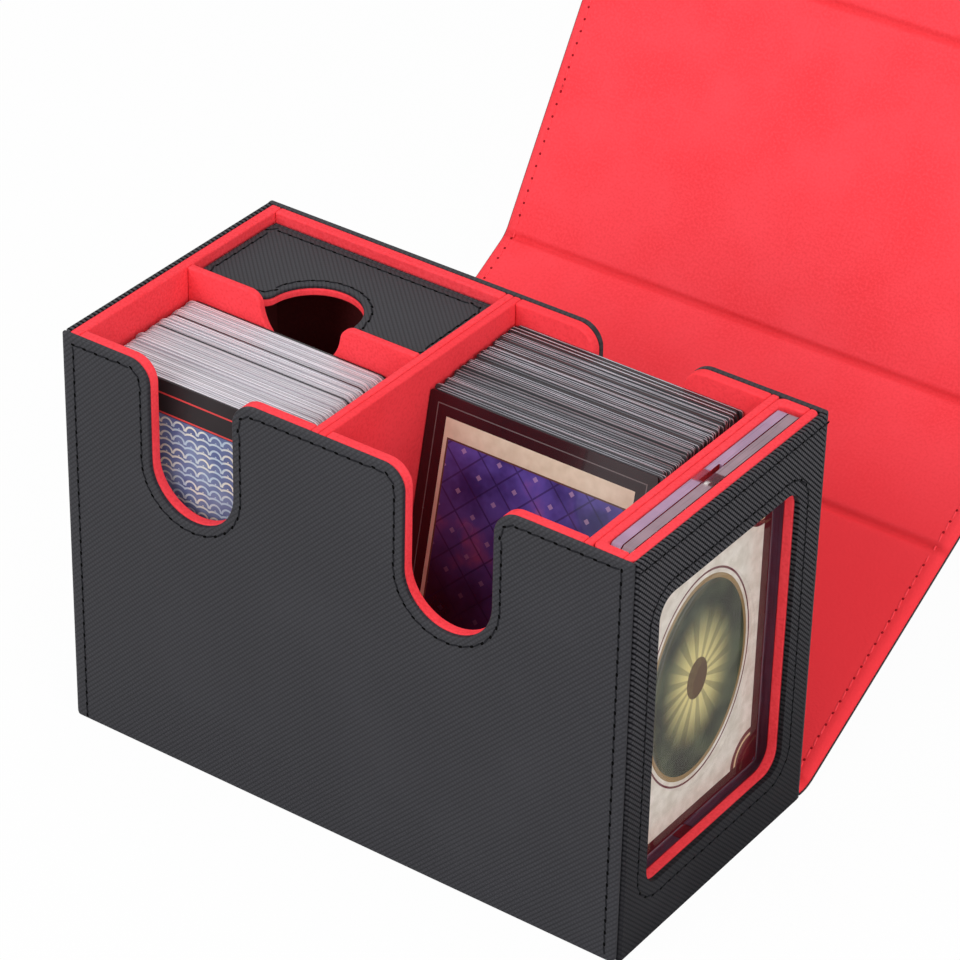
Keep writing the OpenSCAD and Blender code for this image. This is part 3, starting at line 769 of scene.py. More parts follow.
class DECKBOX_OT_shell(bpy.types.Operator):
    """Makes the leathercloth walls and the base"""

    bl_idname = "deckbox.shell"
    bl_label = "Walls and base"

    def execute(self, context):
        """The walls reach down over the edge of the base."""
        look = settings().leathercloth
        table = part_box("base_cover")[0].z
        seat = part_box("front_wall")[0].z
        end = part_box("front_wall")[1].x
        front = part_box("left_wall")[0].y
        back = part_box("back_wall")[1].y

        def to_table(point):
            """A wall's lower edge goes down to the table."""
            if close(point.z, seat):
                point.z = table
            return point

        def drawn_in(point):
            """The front wall's right end stands back from the window wall."""
            if close(point.x, end):
                point.x = end - look.groove
            return to_table(point)

        def front_share(first, second):
            """Upright outer edges and lower corners of the front wall."""
            at_end = close(first.x, second.x) and (close(first.x, end - look.groove) or close(first.x, -end))
            if at_end and close(first.z, table) and close(second.z, table):
                return 1.0
            outer = close(first.y, second.y) and not close(first.y, front)
            return look.upright if at_end and outer else 0.0

        def back_share(first, second):
            """Upright outer edges of the back wall, rounder at the window's end."""
            at_end = close(first.x, second.x) and close(abs(first.x), end)
            outer = close(first.y, second.y) and close(first.y, back) and not close(first.z, second.z)
            return (look.round if first.x > 0 else look.sharp) if at_end and outer else 0.0

        def end_share(first, second):
            """Front upright outer edge of an end wall, beside the groove."""
            outer = close(abs(first.x), end) and close(abs(second.x), end)
            return look.upright if outer and close(first.y, front) and close(second.y, front) else 0.0

        for node, direction, share_of, move in (
            ("front_wall", "front", front_share, drawn_in),
            ("back_wall", "back", back_share, to_table),
            ("left_wall", "end", end_share, to_table),
            ("window_wall", "end", end_share, to_table),
        ):
            wall = rounded_board(
                node + "_cloth", node, black_cloth(direction), look.rounding, look.foot, share_of, move
            )
            set_on(wall, "box", "black_leather", node)
        inside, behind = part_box("base_board"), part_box("back_wall")[0].y

        def within_walls(point):
            """The base cover ends inside the walls."""
            point.x = max(inside[0].x, min(inside[1].x, point.x))
            point.y = max(inside[0].y, min(behind, point.y))
            return point

        base = rounded_board(
            "base_cloth", "base_cover", black_cloth("top"), 0.4 * look.rounding, move=within_walls
        )
        set_on(base, "box", "black_leather", "base_cover")
        return {"FINISHED"}


class DECKBOX_OT_linings(bpy.types.Operator):
    """Makes the suede boards of the bays and the display slot"""

    bl_idname = "deckbox.linings"
    bl_label = "Linings, partitions and floors"

    def execute(self, context):
        """One rounded board for each suede node. The hidden boards keep their shape."""
        look = settings().suede
        inner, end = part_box("slot_liner")[0].x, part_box("window_liner")[1]

        def slot_corner(first, second):
            """Upright outer edges of the slot liner and the window liner."""
            upright = close(first.x, second.x) and close(first.y, second.y)
            outer = close(first.x, inner) or close(first.x, end.x)
            return 1.0 if upright and outer and close(abs(first.y), end.y) else 0.0

        boards = (
            "side_liner_left side_liner_front side_liner_back side_partition "
            "main_partition main_liner_front main_liner_back main_liner_right "
            "slot_liner window_liner cross_divider side_floor main_floor slot_floor"
        )
        for node in boards.split():
            share_of = slot_corner if node in ("slot_liner", "window_liner") else None
            # The main bay's partition and back lining take the darker copy: painted shade
            red = shaded_bay_suede() if node in ("main_partition", "main_liner_back") else red_suede()
            lining = rounded_board(node + "_suede", node, red, look.rounding, look.corner, share_of)
            set_on(lining, "box", "red_suede", node)
        for node in ("base_board", "side_risers", "main_risers"):
            dress(node, shared(board, "grey_board"))
        return {"FINISHED"}


class DECKBOX_OT_tray(bpy.types.Operator):
    """Makes the accessory tray with its black boards and red lining"""

    bl_idname = "deckbox.tray"
    bl_label = "Accessory tray"

    def execute(self, context):
        """Black boards outside, suede boards inside."""
        faces = {"back": "back", "top": "top", "bottom": "top", "left": "end", "right": "end"}
        for side, direction in faces.items():
            outer = rounded_board(
                f"tray_{side}_cloth", f"tray_{side}", black_cloth(direction), settings().leathercloth.rounding
            )
            set_on(outer, "tray", "black_leather", f"tray_{side}")
            node = f"tray_lining_{side}"
            # The top's lining is plain suede; the tray's inner linings take the painted tray shade
            nap = red_suede() if side == "top" else tray_shade_suede()
            inner = rounded_board(node + "_suede", node, nap, settings().suede.rounding)
            set_on(inner, "tray", "red_suede", node)
        return {"FINISHED"}


def new_graph(name, **inputs):
    """A new geometry node tree with its named inputs, and its two ends."""
    tree = bpy.data.node_groups.new(name, "GeometryNodeTree")
    tree.interface.new_socket("Geometry", in_out="OUTPUT", socket_type="NodeSocketGeometry")
    for label, kind in {"Geometry": "Geometry", **inputs}.items():
        tree.interface.new_socket(label, in_out="INPUT", socket_type="NodeSocket" + kind)
    return Graph(tree), tree.nodes.new("NodeGroupInput").outputs, tree.nodes.new("NodeGroupOutput").inputs


def finished_tree(graph, instances, material, end):
    """Ends a tree: instances made real, with their material."""
    real = graph.first("GeometryNodeRealizeInstances", {"Geometry": instances})
    coated = graph.first("GeometryNodeSetMaterial", {"Geometry": real, "Material": material})
    graph.feed(end["Geometry"], coated)
    return graph.tree


def stitch_tree():
    """Geometry nodes that lay stitches along paths, each turned to lie on the cloth."""
    name = "Stitch run"
    if name in bpy.data.node_groups:
        return bpy.data.node_groups[name]
    numbers = dict.fromkeys(("Pitch", "Length", "Width", "Height", "Shift", "Slant"), "Float")
    g, start, end = new_graph(name, **numbers, Material="Material")
    curve = g.first("GeometryNodeMeshToCurve", {"Mesh": start["Geometry"]})
    even = g.first("GeometryNodeResampleCurve", {"Curve": curve, "Length": start["Pitch"]}, mode="LENGTH")
    points = g.node("GeometryNodeCurveToPoints", {"Curve": even}, mode="EVALUATED").outputs
    tangent = points["Tangent"]
    step = g.first("ShaderNodeVectorMath", {"Vector": tangent, "Scale": start["Shift"]}, operation="SCALE")
    moved = g.first("GeometryNodeSetPosition", {"Geometry": points[0], "Offset": step})
    lengthwise = g.first("FunctionNodeAlignRotationToVector", {"Vector": tangent}, axis="X")
    normal = g.node("GeometryNodeInputNamedAttribute", {"Name": "face_normal"}, data_type="FLOAT_VECTOR")
    onto = {"Rotation": lengthwise, "Vector": normal.outputs["Attribute"]}
    flat = g.first("FunctionNodeAlignRotationToVector", onto, axis="Z", pivot_axis="X")
    turned = {"Rotation": flat, "Rotate By": g.joined(Z=start["Slant"])}
    laid = g.first("FunctionNodeRotateRotation", turned, rotation_space="LOCAL")
    ball = g.first("GeometryNodeMeshUVSphere", {"Segments": 8, "Rings": 6, "Radius": 0.5})
    at = g.split(g.first("GeometryNodeInputPosition"))
    blunt = g.maths("POWER", g.maths("ABSOLUTE", g.maths("MULTIPLY", at["Z"], 2.0)), BLUNTNESS)
    end_to_end = g.maths("MULTIPLY", g.maths("SIGN", at["Z"]), g.maths("MULTIPLY", blunt, 0.5))
    lying = g.joined(X=end_to_end, Y=at["X"], Z=at["Y"])
    bead = g.first("GeometryNodeSetPosition", {"Geometry": ball, "Position": lying})
    smooth = g.first("GeometryNodeSetShadeSmooth", {"Geometry": bead})
    sizes = g.joined(X=start["Length"], Y=start["Width"], Z=start["Height"])
    spread = {"Points": moved, "Instance": smooth, "Rotation": laid, "Scale": sizes}
    return finished_tree(g, g.first("GeometryNodeInstanceOnPoints", spread), start["Material"], end)


def grown(name, mesh, tree, **values):
    """A piece that a geometry node tree makes from a source mesh, as a plain mesh."""
    piece = linked(name, mesh)
    modifier = piece.modifiers.new("Growth", "NODES")
    modifier.node_group = tree
    for socket in tree.interface.items_tree:
        if socket.in_out == "INPUT" and socket.name in values:
            modifier[socket.identifier] = values[socket.name]
    return baked(piece)


def path_mesh(name, runs):
    """Stitch paths as edges. A run is its points, the cloth's normal at each, and whether it closes."""
    points, normals, edges = [], [], []
    for run, faces, closed in runs:
        first = len(points)
        points += run
        normals += faces
        edges += [(first + i, first + i + 1) for i in range(len(run) - 1)]
        edges += [(first + len(run) - 1, first)] if closed else []
    mesh = bpy.data.meshes.new(name)
    mesh.from_pydata(points, edges, [])
    attribute = mesh.attributes.new("face_normal", "FLOAT_VECTOR", "POINT")
    for value, normal in zip(attribute.data, normals):
        value.vector = normal
    return mesh


def sewn(name, runs, pitch, red=False):
    """Threads and needle holes along the runs, as two pieces."""
    look = settings().stitch
    colours = ("red", look.red, look.red_hole) if red else ("black", look.black, look.black_hole)
    yarn = shared(thread, colours[0] + "_thread", colours[1])
    dark = shared(painted_hole_shade, colours[0] + "_needle_hole", colours[2])
    hole_length = look.hole if red else look.hole_length
    pieces = []
    # Thread lies between the needle holes, which stand half a pitch further along; the holes are dark blobs
    # of painted shade
    for part, material, length, width, height, shift, slant in (
        ("thread", yarn, 0.75 * pitch, look.width, 0.7 * look.width, 0.0, look.slant),
        ("holes", dark, hole_length, look.hole, 0.3 * look.hole, 0.5 * pitch, 0.0),
    ):
        pieces.append(grown(
            f"{name}_{part}", path_mesh(name, runs), stitch_tree(), Pitch=pitch, Material=material,
            Length=length, Width=width, Height=height, Shift=shift, Slant=slant,
        ))
    return pieces


def face_outlines(node, normal):
    """Outlines of a node's outermost flat face on one side, longest first, counter-clockwise from outside."""
    bm = welded(node)
    reach = max(v.co.dot(normal) for v in bm.verts)
    outermost = [f for f in bm.faces if close(f.verts[0].co.dot(normal), reach)]
    flat = {f for f in outermost if f.normal.dot(normal) > FACES_EXACTLY}
    rim = [e for e in bm.edges if sum(f in flat for f in e.link_faces) == 1]
    outlines = []
    while rim:
        edge = rim.pop()
        first, point = edge.verts
        loop = [first.co.copy()]
        while point is not first:
            loop.append(point.co.copy())
            edge = next(e for e in point.link_edges if e in rim)
            rim.remove(edge)
            point = edge.other_vert(point)
        outlines.append(loop if turns_left(loop, normal) else loop[::-1])
    bm.free()
    return sorted(outlines, key=perimeter, reverse=True)


def perimeter(loop):
    """Length of a closed line."""
    return sum((a - b).length for a, b in zip(loop, loop[1:] + loop[:1]))


def turns_left(loop, normal):
    """True if a closed line runs counter-clockwise round the normal."""
    return sum(a.cross(b).dot(normal) for a, b in zip(loop, loop[1:] + loop[:1])) > 0


def inset_line(loop, normal, inset):
    """A closed line moved sideways: inwards for a positive inset, outwards for a negative one."""
    moved = []
    for before, point, after in zip(loop[-1:] + loop[:-1], loop, loop[1:] + loop[:1]):
        first = normal.cross((point - before).normalized())
        second = normal.cross((after - point).normalized())
        moved.append(point + (first + second) * (inset / (1 + first.dot(second))))
    return moved


def trimmed(line, length):
    """An open line made that much shorter at both ends."""
    first = line[0] + (line[1] - line[0]).normalized() * length
    last = line[-1] + (line[-2] - line[-1]).normalized() * length
    return [first, *line[1:-1], last]


class DECKBOX_OT_stitching(bpy.types.Operator):
    """Sews the walls and the tray's top"""

    bl_idname = "deckbox.stitching"
    bl_label = "Stitching of walls and tray"

    def execute(self, context):
        """Rims and notches of the long walls, the end walls' tops, the window and the tray."""
        look = settings().stitch
        runs = self.rim_runs("front_wall", Vector((0, -1, 0))) + self.rim_runs("back_wall", Vector((0, 1, 0)))
        for node, normal in (("left_wall", Vector((-1, 0, 0))), ("window_wall", Vector((1, 0, 0)))):
            low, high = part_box(node)
            x = low.x if normal.x < 0 else high.x
            z = high.z - look.end_inset
            ends = [Vector((x, y, z)) for y in (low.y + 0.3 * look.pitch, high.y - 0.3 * look.pitch)]
            runs.append((ends, [normal] * 2, False))
        window = inset_line(face_outlines("window_wall", normal)[1], normal, -look.window_inset)
        runs.append((window, [normal] * len(window), True))
        for piece in sewn("wall_stitching", runs, look.pitch):
            set_on(piece, "box", "black_leather")
        up = Vector((0, 0, 1))
        top = inset_line(face_outlines("tray_top", up)[0], up, look.tray_inset)
        for piece in sewn("tray_stitching", [(top, [up] * len(top), True)], look.pitch):
            set_on(piece, "tray", "black_leather")
        return {"FINISHED"}

    def rim_runs(self, node, normal):
        """Lines up one side of a long wall, along its rim and notches, and down the other side."""
        look = settings().stitch
        low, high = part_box(node)
        line = inset_line(face_outlines(node, normal)[0], normal, look.rim_inset)
        foot = low.z + look.rim_inset
        start = next(i for i, p in enumerate(line) if close(p.z, foot) and not close(line[i - 1].z, foot))
        run = line[start:] + line[:start]
        corners = [p for p in run if close(p.z, foot)]
        run = corners[-1:] + [p for p in run if not close(p.z, foot)] + corners[:1]
        side = high.x - look.rim_inset
        for point in run:
            if close(abs(point.x), side):
                point.x = math.copysign(high.x - look.side_inset, point.x)
            if close(point.z, foot):
                point.z = low.z
        parts = [trimmed(part, 0.5 * look.pitch) for part in (run[:2], run[1:-1], run[-2:])]
        return [(part, [normal] * len(part), False) for part in parts]


class FlapShape:
    """The flap at rest: its middle line from the back wall over four creases to the edge, and its faces."""

    PANELS = ("box", "flap_lower", "flap_upper", "flap_top", "flap_front")
    # Step along the traced middle line, and the width and depth of the groove that a sewn line presses
    STEP = 0.1 * MM
    SEWN_WIDTH = 0.8 * MM
    SEWN_DEPTH = 0.08 * MM
    # Mesh rows over each half of a crease, and over a rolled edge
    CREASE_ROWS = 9
    ROLL_ROWS = 8

    def __init__(self):
        self.look = settings().flap
        hinges = [Vector(j["pos_m"]).yz for j in frame["joints"] if j["type"] == "hinge"]
        way = (hinges[3] - hinges[2]).normalized()
        heights = self.reaches(Vector((-way.y, way.x)), hinges[2], "top_cover", "top_lining")
        self.half_thickness = 0.5 * (max(heights) - min(heights))
        self.half_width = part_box("front_cover")[1].x
        back = Vector((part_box("back_wall")[1].y, hinges[0].y))
        corners = [back, *hinges, hinges[3] + way * max(self.reaches(way, hinges[3], "front_cover"))]
        spans = [(b - a).length for a, b in zip(corners, corners[1:])]
        self.start = -spans[0]
        self.creases = [sum(spans[1:i + 1]) for i in range(4)]
        self.end = sum(spans[1:])
        self.slopes = [math.atan2((b - a).y, (b - a).x) for a, b in zip(corners, corners[1:])]
        self.trace(back)

    def reaches(self, way, origin, *nodes):
        """How far the points of CAD nodes lie from an origin, along a way in the side view."""
        return [(v.co.yz - origin).dot(way) for node in nodes for v in frame["nodes"][node].data.vertices]

    def trace(self, back):
        """Follows the middle line in small steps, turning smoothly at each crease."""
        self.along = np.arange(self.start, self.end + self.STEP, self.STEP)
        angle = np.full_like(self.along, self.slopes[0])
        for crease, before, after in zip(self.creases, self.slopes, self.slopes[1:]):
            t = np.clip((self.along - crease) / (2 * self.look.bend) + 0.5, 0, 1)
            angle += (after - before) * t * t * (3 - 2 * t)
        self.angle = angle
        self.y = back.x + np.concatenate([[0], np.cumsum(np.cos(angle[:-1]) * self.STEP)])
        self.z = back.y + np.concatenate([[0], np.cumsum(np.sin(angle[:-1]) * self.STEP)])

    def at(self, x, s, height):
        """Point at x across and s along the flap, that far over its middle line, and the normal there."""
        y, z, angle = (np.interp(s, self.along, values) for values in (self.y, self.z, self.angle))
        normal = Vector((0, -math.sin(angle), math.cos(angle)))
        return Vector((x, y, z)) + normal * height, normal

    def half_width_at(self, s, lip):
        """Half the flap's width at s, less where the free corners are round."""
        radius = self.look.corner - lip
        past = s - (self.end - self.look.corner)
        if past <= 0:
            return self.half_width - lip
        return self.half_width - lip - radius + math.sqrt(max(0.0, radius ** 2 - past ** 2))

    def edge_distance(self, x, s, lip):
        """Distance from the nearest edge of the flap's outline."""
        radius = self.look.corner - lip
        over_x = abs(x) - (self.half_width - lip - radius)
        over_s = s - (self.end - lip - radius)
        if over_x > 0 and over_s > 0:
            return max(0.0, radius - math.hypot(over_x, over_s))
        return max(0.0, radius - max(over_x, over_s))

    def roll(self, distance, width, low, high):
        """Height of a rounded edge: low at the edge, high from the width inwards."""
        inwards = 1 - min(1.0, distance / width)
        return low + (high - low) * math.sqrt(max(0.0, 1 - inwards ** 2))

    def pressed(self, s, distance):
        """Depth of the crease lines and of the sewn line."""
        creases = sum(math.exp(-(((s - c) / self.look.crease_width) ** 2)) for c in self.creases)
        sewn_line = math.exp(-(((distance - settings().stitch.flap_inset) / self.SEWN_WIDTH) ** 2))
        return self.look.crease_depth * creases + self.SEWN_DEPTH * sewn_line

    def ripple(self, x, s):
        """Slow waves where the lining is glued down."""
        waves = math.sin(s / (11 * MM) + 1.3 * math.sin(x / (23 * MM)))
        waves += math.sin(x / (17 * MM) + 1.1 * math.sin(s / (29 * MM)))
        return 0.5 * self.look.ripple * waves

    def red_face(self, x, s):
        """Height of the lining's face."""
        distance = self.edge_distance(x, s, self.look.lip)
        edge = -self.half_thickness + self.look.lip_height
        top = self.roll(distance, self.look.edge_roll, edge, self.half_thickness)
        inside = min(1.0, distance / (2 * self.look.edge_roll))
        return top - inside * (self.pressed(s, distance) - self.ripple(x, s))

    def black_face(self, x, s):
        """Height of the cover's outer face."""
        distance = self.edge_distance(x, s, 0.0)
        edge = -self.half_thickness + self.look.lip_height
        inside = min(1.0, distance / (2 * self.look.edge_roll))
        bottom = self.roll(distance, self.look.lip_height, edge, -self.half_thickness)
        return bottom + inside * self.look.outside * self.pressed(s, distance)

    def stations(self, first, last, lip):
        """Places along a stretch of the flap, close together at creases and at the free edge."""
        near = 2.6 * self.look.crease_width
        rows = self.CREASE_ROWS
        found = {first, last}
        for crease in self.creases:
            found |= {crease + near * k / rows for k in range(-rows, rows + 1)}
        for step in self.edge_steps():
            found.add(self.end - lip - step)
        inner = sorted(s for s in found if first <= s <= last)
        filled = []
        for a, b in zip(inner, inner[1:]):
            parts = max(1, round((b - a) / self.look.cell))
            filled += [a + (b - a) * k / parts for k in range(parts)]
        return filled + [last]

    def edge_steps(self):
        """Distances from an edge at which its rounding and the sewn line need points."""
        rows = self.ROLL_ROWS
        roll = [self.look.edge_roll * (1 - math.cos(0.25 * TURN * k / rows)) for k in range(rows + 1)]
        inset = settings().stitch.flap_inset
        return roll + [inset + 0.45 * MM * k for k in range(-2, 3)] + [inset + 2.2 * MM]

    def columns(self, s, lip):
        """Places across the flap at s, close together at the edges."""
        half = self.half_width_at(s + lip, lip)
        steps = self.edge_steps()
        inner = half - steps[-1] - 0.6 * MM
        count = round(2 * self.half_width / self.look.cell)
        middle = [inner * (2 * k / count - 1) for k in range(count + 1)]
        return [step - half for step in steps] + middle + [half - step for step in reversed(steps)]

    def slab(self, name, first, last, lip, faces, material):
        """A closed sheet over one stretch, between the heights of its two faces."""
        last = min(last, self.end - lip)
        rows = [(s, self.columns(s, lip)) for s in self.stations(first, last, lip)]
        wide, long = len(rows[0][1]), len(rows)
        points, flat = [], []
        for face in faces:
            for s, columns in rows:
                points += [self.at(x, s, face(x, s))[0] for x in columns]
                flat += [(x, s) for x in columns]
        under = wide * long
        quads = []
        for i in range(long - 1):
            for j in range(wide - 1):
                a, b, c, d = i * wide + j, i * wide + j + 1, (i + 1) * wide + j + 1, (i + 1) * wide + j
                quads += [(a, b, c, d), (under + d, under + c, under + b, under + a)]
        rim = [i * wide for i in range(long)] + [(long - 1) * wide + j for j in range(1, wide)]
        rim += [i * wide + wide - 1 for i in range(long - 2, -1, -1)] + list(range(wide - 2, 0, -1))
        for a, b in zip(rim, rim[1:] + rim[:1]):
            quads.append((a, b, under + b, under + a))
        mesh = bpy.data.meshes.new(name)
        mesh.from_pydata(points, [], quads)
        uv = mesh.uv_layers.new(name="UVMap")
        for corner, spot in zip(mesh.loops, uv.data):
            spot.uv = flat[corner.vertex_index]
        mesh.materials.append(material)
        mesh.shade_smooth()
        mesh.set_sharp_from_angle(angle=EDGE_ANGLE)
        return linked(name, mesh)


class DECKBOX_OT_flap(bpy.types.Operator):
    """Makes the flap's red lining, black cover and stitching, which bend at the creases"""

    bl_idname = "deckbox.flap"
    bl_label = "Flap"

    # Each panel with the rolled fold at its crease
    STRETCHES = {"lower": "hinge_bead", "upper": "fold_bead", "top": "top_bead", "front": "front_bead"}
    # Steps along a straight sewn line, and round a corner
    LINE_STEPS = 60
    ARC_STEPS = 8

    def execute(self, context):
        """Four stretches, each round one crease, that meet in the middle of the panels."""
        flap = FlapShape()
        # The hidden faces of the lining and the cover overlap inside the flap
        inner = -flap.half_thickness + 0.6 * flap.look.lip_height
        outer = -flap.half_thickness + 1.2 * flap.look.lip_height
        nap = settings().suede
        red = shared(suede, "suede_flap", nap.bright, nap.deep, 0.25, flap.creases)
        black = shared(leathercloth, "leathercloth_flap", *RIB_WAYS["top"], False, True)
        middles = [0.5 * (a + b) for a, b in zip(flap.creases, flap.creases[1:])]
        cuts = [flap.start, *middles, flap.end]
        for i, (panel, bead) in enumerate(self.STRETCHES.items()):
            first, last = cuts[i], cuts[i + 1]
            lining = flap.slab(
                f"flap_{panel}_suede", first, last, flap.look.lip, (flap.red_face, lambda x, s: inner), red
            )
            cover = flap.slab(
                f"flap_{panel}_cloth", first, last, 0.0, (lambda x, s: outer, flap.black_face), black
            )
            self.bend(flap, i, lining, "red_suede", f"{panel}_lining")
            self.bend(flap, i, cover, "black_leather", f"{panel}_cover", bead)
            inside = self.stitch_runs(flap, first, last, flap.red_face, 1)
            outside = self.stitch_runs(flap, first, last, flap.black_face, -1)
            pitch = settings().stitch.flap_pitch
            for piece in sewn(f"flap_{panel}_inside", inside, pitch, red=True):
                self.bend(flap, i, piece, "red_suede")
            for piece in sewn(f"flap_{panel}_outside", outside, pitch):
                self.bend(flap, i, piece, "black_leather")
        for node in ("wall_magnets", "flap_magnets"):
            dress(node, shared(nickel, "closure_nickel", (0.55, 0.56, 0.58)))
        return {"FINISHED"}

    def bend(self, flap, i, piece, slot, *nodes):
        """Bakes a piece's transform into its mesh and hides the CAD nodes that it stands for."""
        start, end = (flap.at(0, flap.creases[i] + way * flap.look.bend, 0)[0] for way in (-1, 1))
        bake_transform(piece)
        if nodes:
            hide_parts(*nodes)

    def stitch_runs(self, flap, first, last, face, side):
        """Sewn lines of one face over one stretch: both edges, and the free edge on the last stretch."""
        inset = settings().stitch.flap_inset
        first = max(first, 0.0)
        free = last >= flap.end
        radius = flap.look.corner - inset
        stop = flap.end - inset - radius if free else last
        straight = [first + (stop - first) * k / self.LINE_STEPS for k in range(self.LINE_STEPS + 1)]
        edge = flap.half_width - inset
        right = [(edge, s) for s in straight]
        left = [(-edge, s) for s in straight]
        lines = [right, left]
        if free:
            arc = [0.25 * TURN * k / self.ARC_STEPS for k in range(1, self.ARC_STEPS + 1)]
            round_right = [(edge - radius + radius * math.cos(a), stop + radius * math.sin(a)) for a in arc]
            round_left = [(-x, s) for x, s in reversed(round_right)]
            lines = [right + round_right + round_left + left[::-1]]
        runs = []
        for line in lines:
            spots = [flap.at(x, s, face(x, s)) for x, s in line]
            runs.append(([p for p, n in spots], [side * n for p, n in spots], False))
        return runs


def card_places(node):
    """Each card of a deck, front card first: its middle, its lean, and its width, height and thickness."""
    bm = bmesh.new()
    bm.from_mesh(frame["nodes"][node].data)
    bmesh.ops.remove_doubles(bm, verts=bm.verts, dist=WELD)
    left = set(bm.verts)
    cards = []
    while left:
        reached = [left.pop()]
        for vert in reached:
            near = [e.other_vert(vert) for e in vert.link_edges]
            fresh = [v for v in near if v in left]
            left.difference_update(fresh)
            reached += fresh
        points = np.array([v.co for v in reached])
        middle = 0.5 * (points.min(0) + points.max(0))
        upright = np.linalg.eigh(np.cov((points - middle)[:, 1:].T))[1][:, 1]
        upright = upright * math.copysign(1.0, upright[1])
        lean = math.atan2(upright[0], upright[1])
        square = np.array([-upright[1], upright[0]])
        extents = [np.ptp(points[:, 0]), np.ptp(points[:, 1:] @ upright), np.ptp(points[:, 1:] @ square)]
        cards.append((Vector(middle), lean, extents))
    bm.free()
    return sorted(cards, key=lambda card: card[0].y)


def deck_tree():
    """Geometry nodes that stand a leaning round-cornered card at each point, with small shifts and shades."""
    name = "Deck of cards"
    if name in bpy.data.node_groups:
        return bpy.data.node_groups[name]
    numbers = dict.fromkeys(("Width", "Height", "Thickness", "Corner", "Lift", "Slide", "Turn"), "Float")
    g, start, end = new_graph(name, **numbers, Seed="Int", Material="Material")

    def chance(low, high, step):
        """A random number for each card."""
        seed = g.maths("ADD", start["Seed"], step)
        return g.node("FunctionNodeRandomValue", {2: low, 3: high, 8: seed}, data_type="FLOAT").outputs[1]

    def kept(geometry, label, value):
        """The geometry with a number stored on its points."""
        inputs = {"Geometry": geometry, "Name": label, "Value": value}
        return g.first("GeometryNodeStoreNamedAttribute", inputs, data_type="FLOAT", domain="POINT")

    sides = {"Width": start["Width"], "Height": start["Height"]}
    outline = g.first("GeometryNodeCurvePrimitiveQuadrilateral", sides)
    rounding = {"Curve": outline, "Radius": start["Corner"], "Count": DECK_STEPS}
    rounded = g.first("GeometryNodeFilletCurve", rounding, mode="POLY")
    face = g.first("GeometryNodeFillCurve", {"Curve": rounded}, mode="NGONS")
    upwards = {"Mesh": face, "Offset Scale": start["Thickness"]}
    both = g.node("GeometryNodeJoinGeometry")
    g.feed(both.inputs[0], g.first("GeometryNodeExtrudeMesh", upwards, mode="FACES"))
    g.feed(both.inputs[0], g.first("GeometryNodeFlipFaces", {"Mesh": face}))
    card = g.first("GeometryNodeMergeByDistance", {"Geometry": both.outputs[0], "Distance": WELD})
    height = g.split(g.first("GeometryNodeInputPosition"))["Z"]
    card = kept(card, "depth", g.maths("DIVIDE", height, start["Thickness"]))
    half = g.joined(Z=g.maths("MULTIPLY", start["Thickness"], -0.5))
    card = g.first("GeometryNodeSetPosition", {"Geometry": card, "Offset": half})
    lean = g.node("GeometryNodeInputNamedAttribute", {"Name": "lean"}, data_type="FLOAT").outputs["Attribute"]
    lift = g.maths("MULTIPLY", g.maths("POWER", chance(0.0, 1.0, 1), 2.0), start["Lift"])
    aside = g.maths("SUBTRACT", 1.0, g.maths("POWER", chance(0.0, 1.0, 2), 2.0))
    shift = g.joined(
        X=g.maths("MULTIPLY", aside, start["Slide"]),
        Y=g.maths("MULTIPLY", g.maths("SINE", lean), lift),
        Z=g.maths("MULTIPLY", g.maths("COSINE", lean), lift),
    )
    spots = g.first("GeometryNodeSetPosition", {"Geometry": start["Geometry"], "Offset": shift})
    shaded = kept(spots, "shade", chance(0.0, 1.0, 3))
    upright = g.joined(X=g.maths("SUBTRACT", 0.25 * TURN, lean))
    spin = g.joined(Z=g.maths("MULTIPLY", chance(-1.0, 1.0, 4), start["Turn"]))
    turns = {"Rotation": upright, "Rotate By": spin}
    turned = g.first("FunctionNodeRotateRotation", turns, rotation_space="LOCAL")
    cards = g.first("GeometryNodeInstanceOnPoints", {"Points": shaded, "Instance": card, "Rotation": turned})
    return finished_tree(g, cards, start["Material"], end)


def plate(name, middle, across, up, extents, radius, material):
    """A printed card: a round-cornered plate whose UV map is the place on it in metres from its middle."""
    width, height, thickness = extents
    outline = []
    for i, (side, end) in enumerate(((1, 1), (-1, 1), (-1, -1), (1, -1))):
        for k in range(PRINT_STEPS + 1):
            angle = 0.25 * TURN * (i + k / PRINT_STEPS)
            x = side * (0.5 * width - radius) + radius * math.cos(angle)
            y = end * (0.5 * height - radius) + radius * math.sin(angle)
            outline.append((x, y))
    normal = across.cross(up)
    count = len(outline)
    levels = (normal * (0.5 * thickness), normal * (-0.5 * thickness))
    points = [middle + across * x + up * y + level for level in levels for x, y in outline]
    faces = [list(range(count)), list(range(2 * count - 1, count - 1, -1))]
    faces += [(i, count + i, count + (i + 1) % count, (i + 1) % count) for i in range(count)]
    mesh = bpy.data.meshes.new(name)
    mesh.from_pydata(points, [], faces)
    uv = mesh.uv_layers.new(name="UVMap")
    for corner, spot in zip(mesh.loops, uv.data):
        spot.uv = outline[corner.vertex_index % count]
    mesh.materials.append(material)
    return linked(name, mesh)


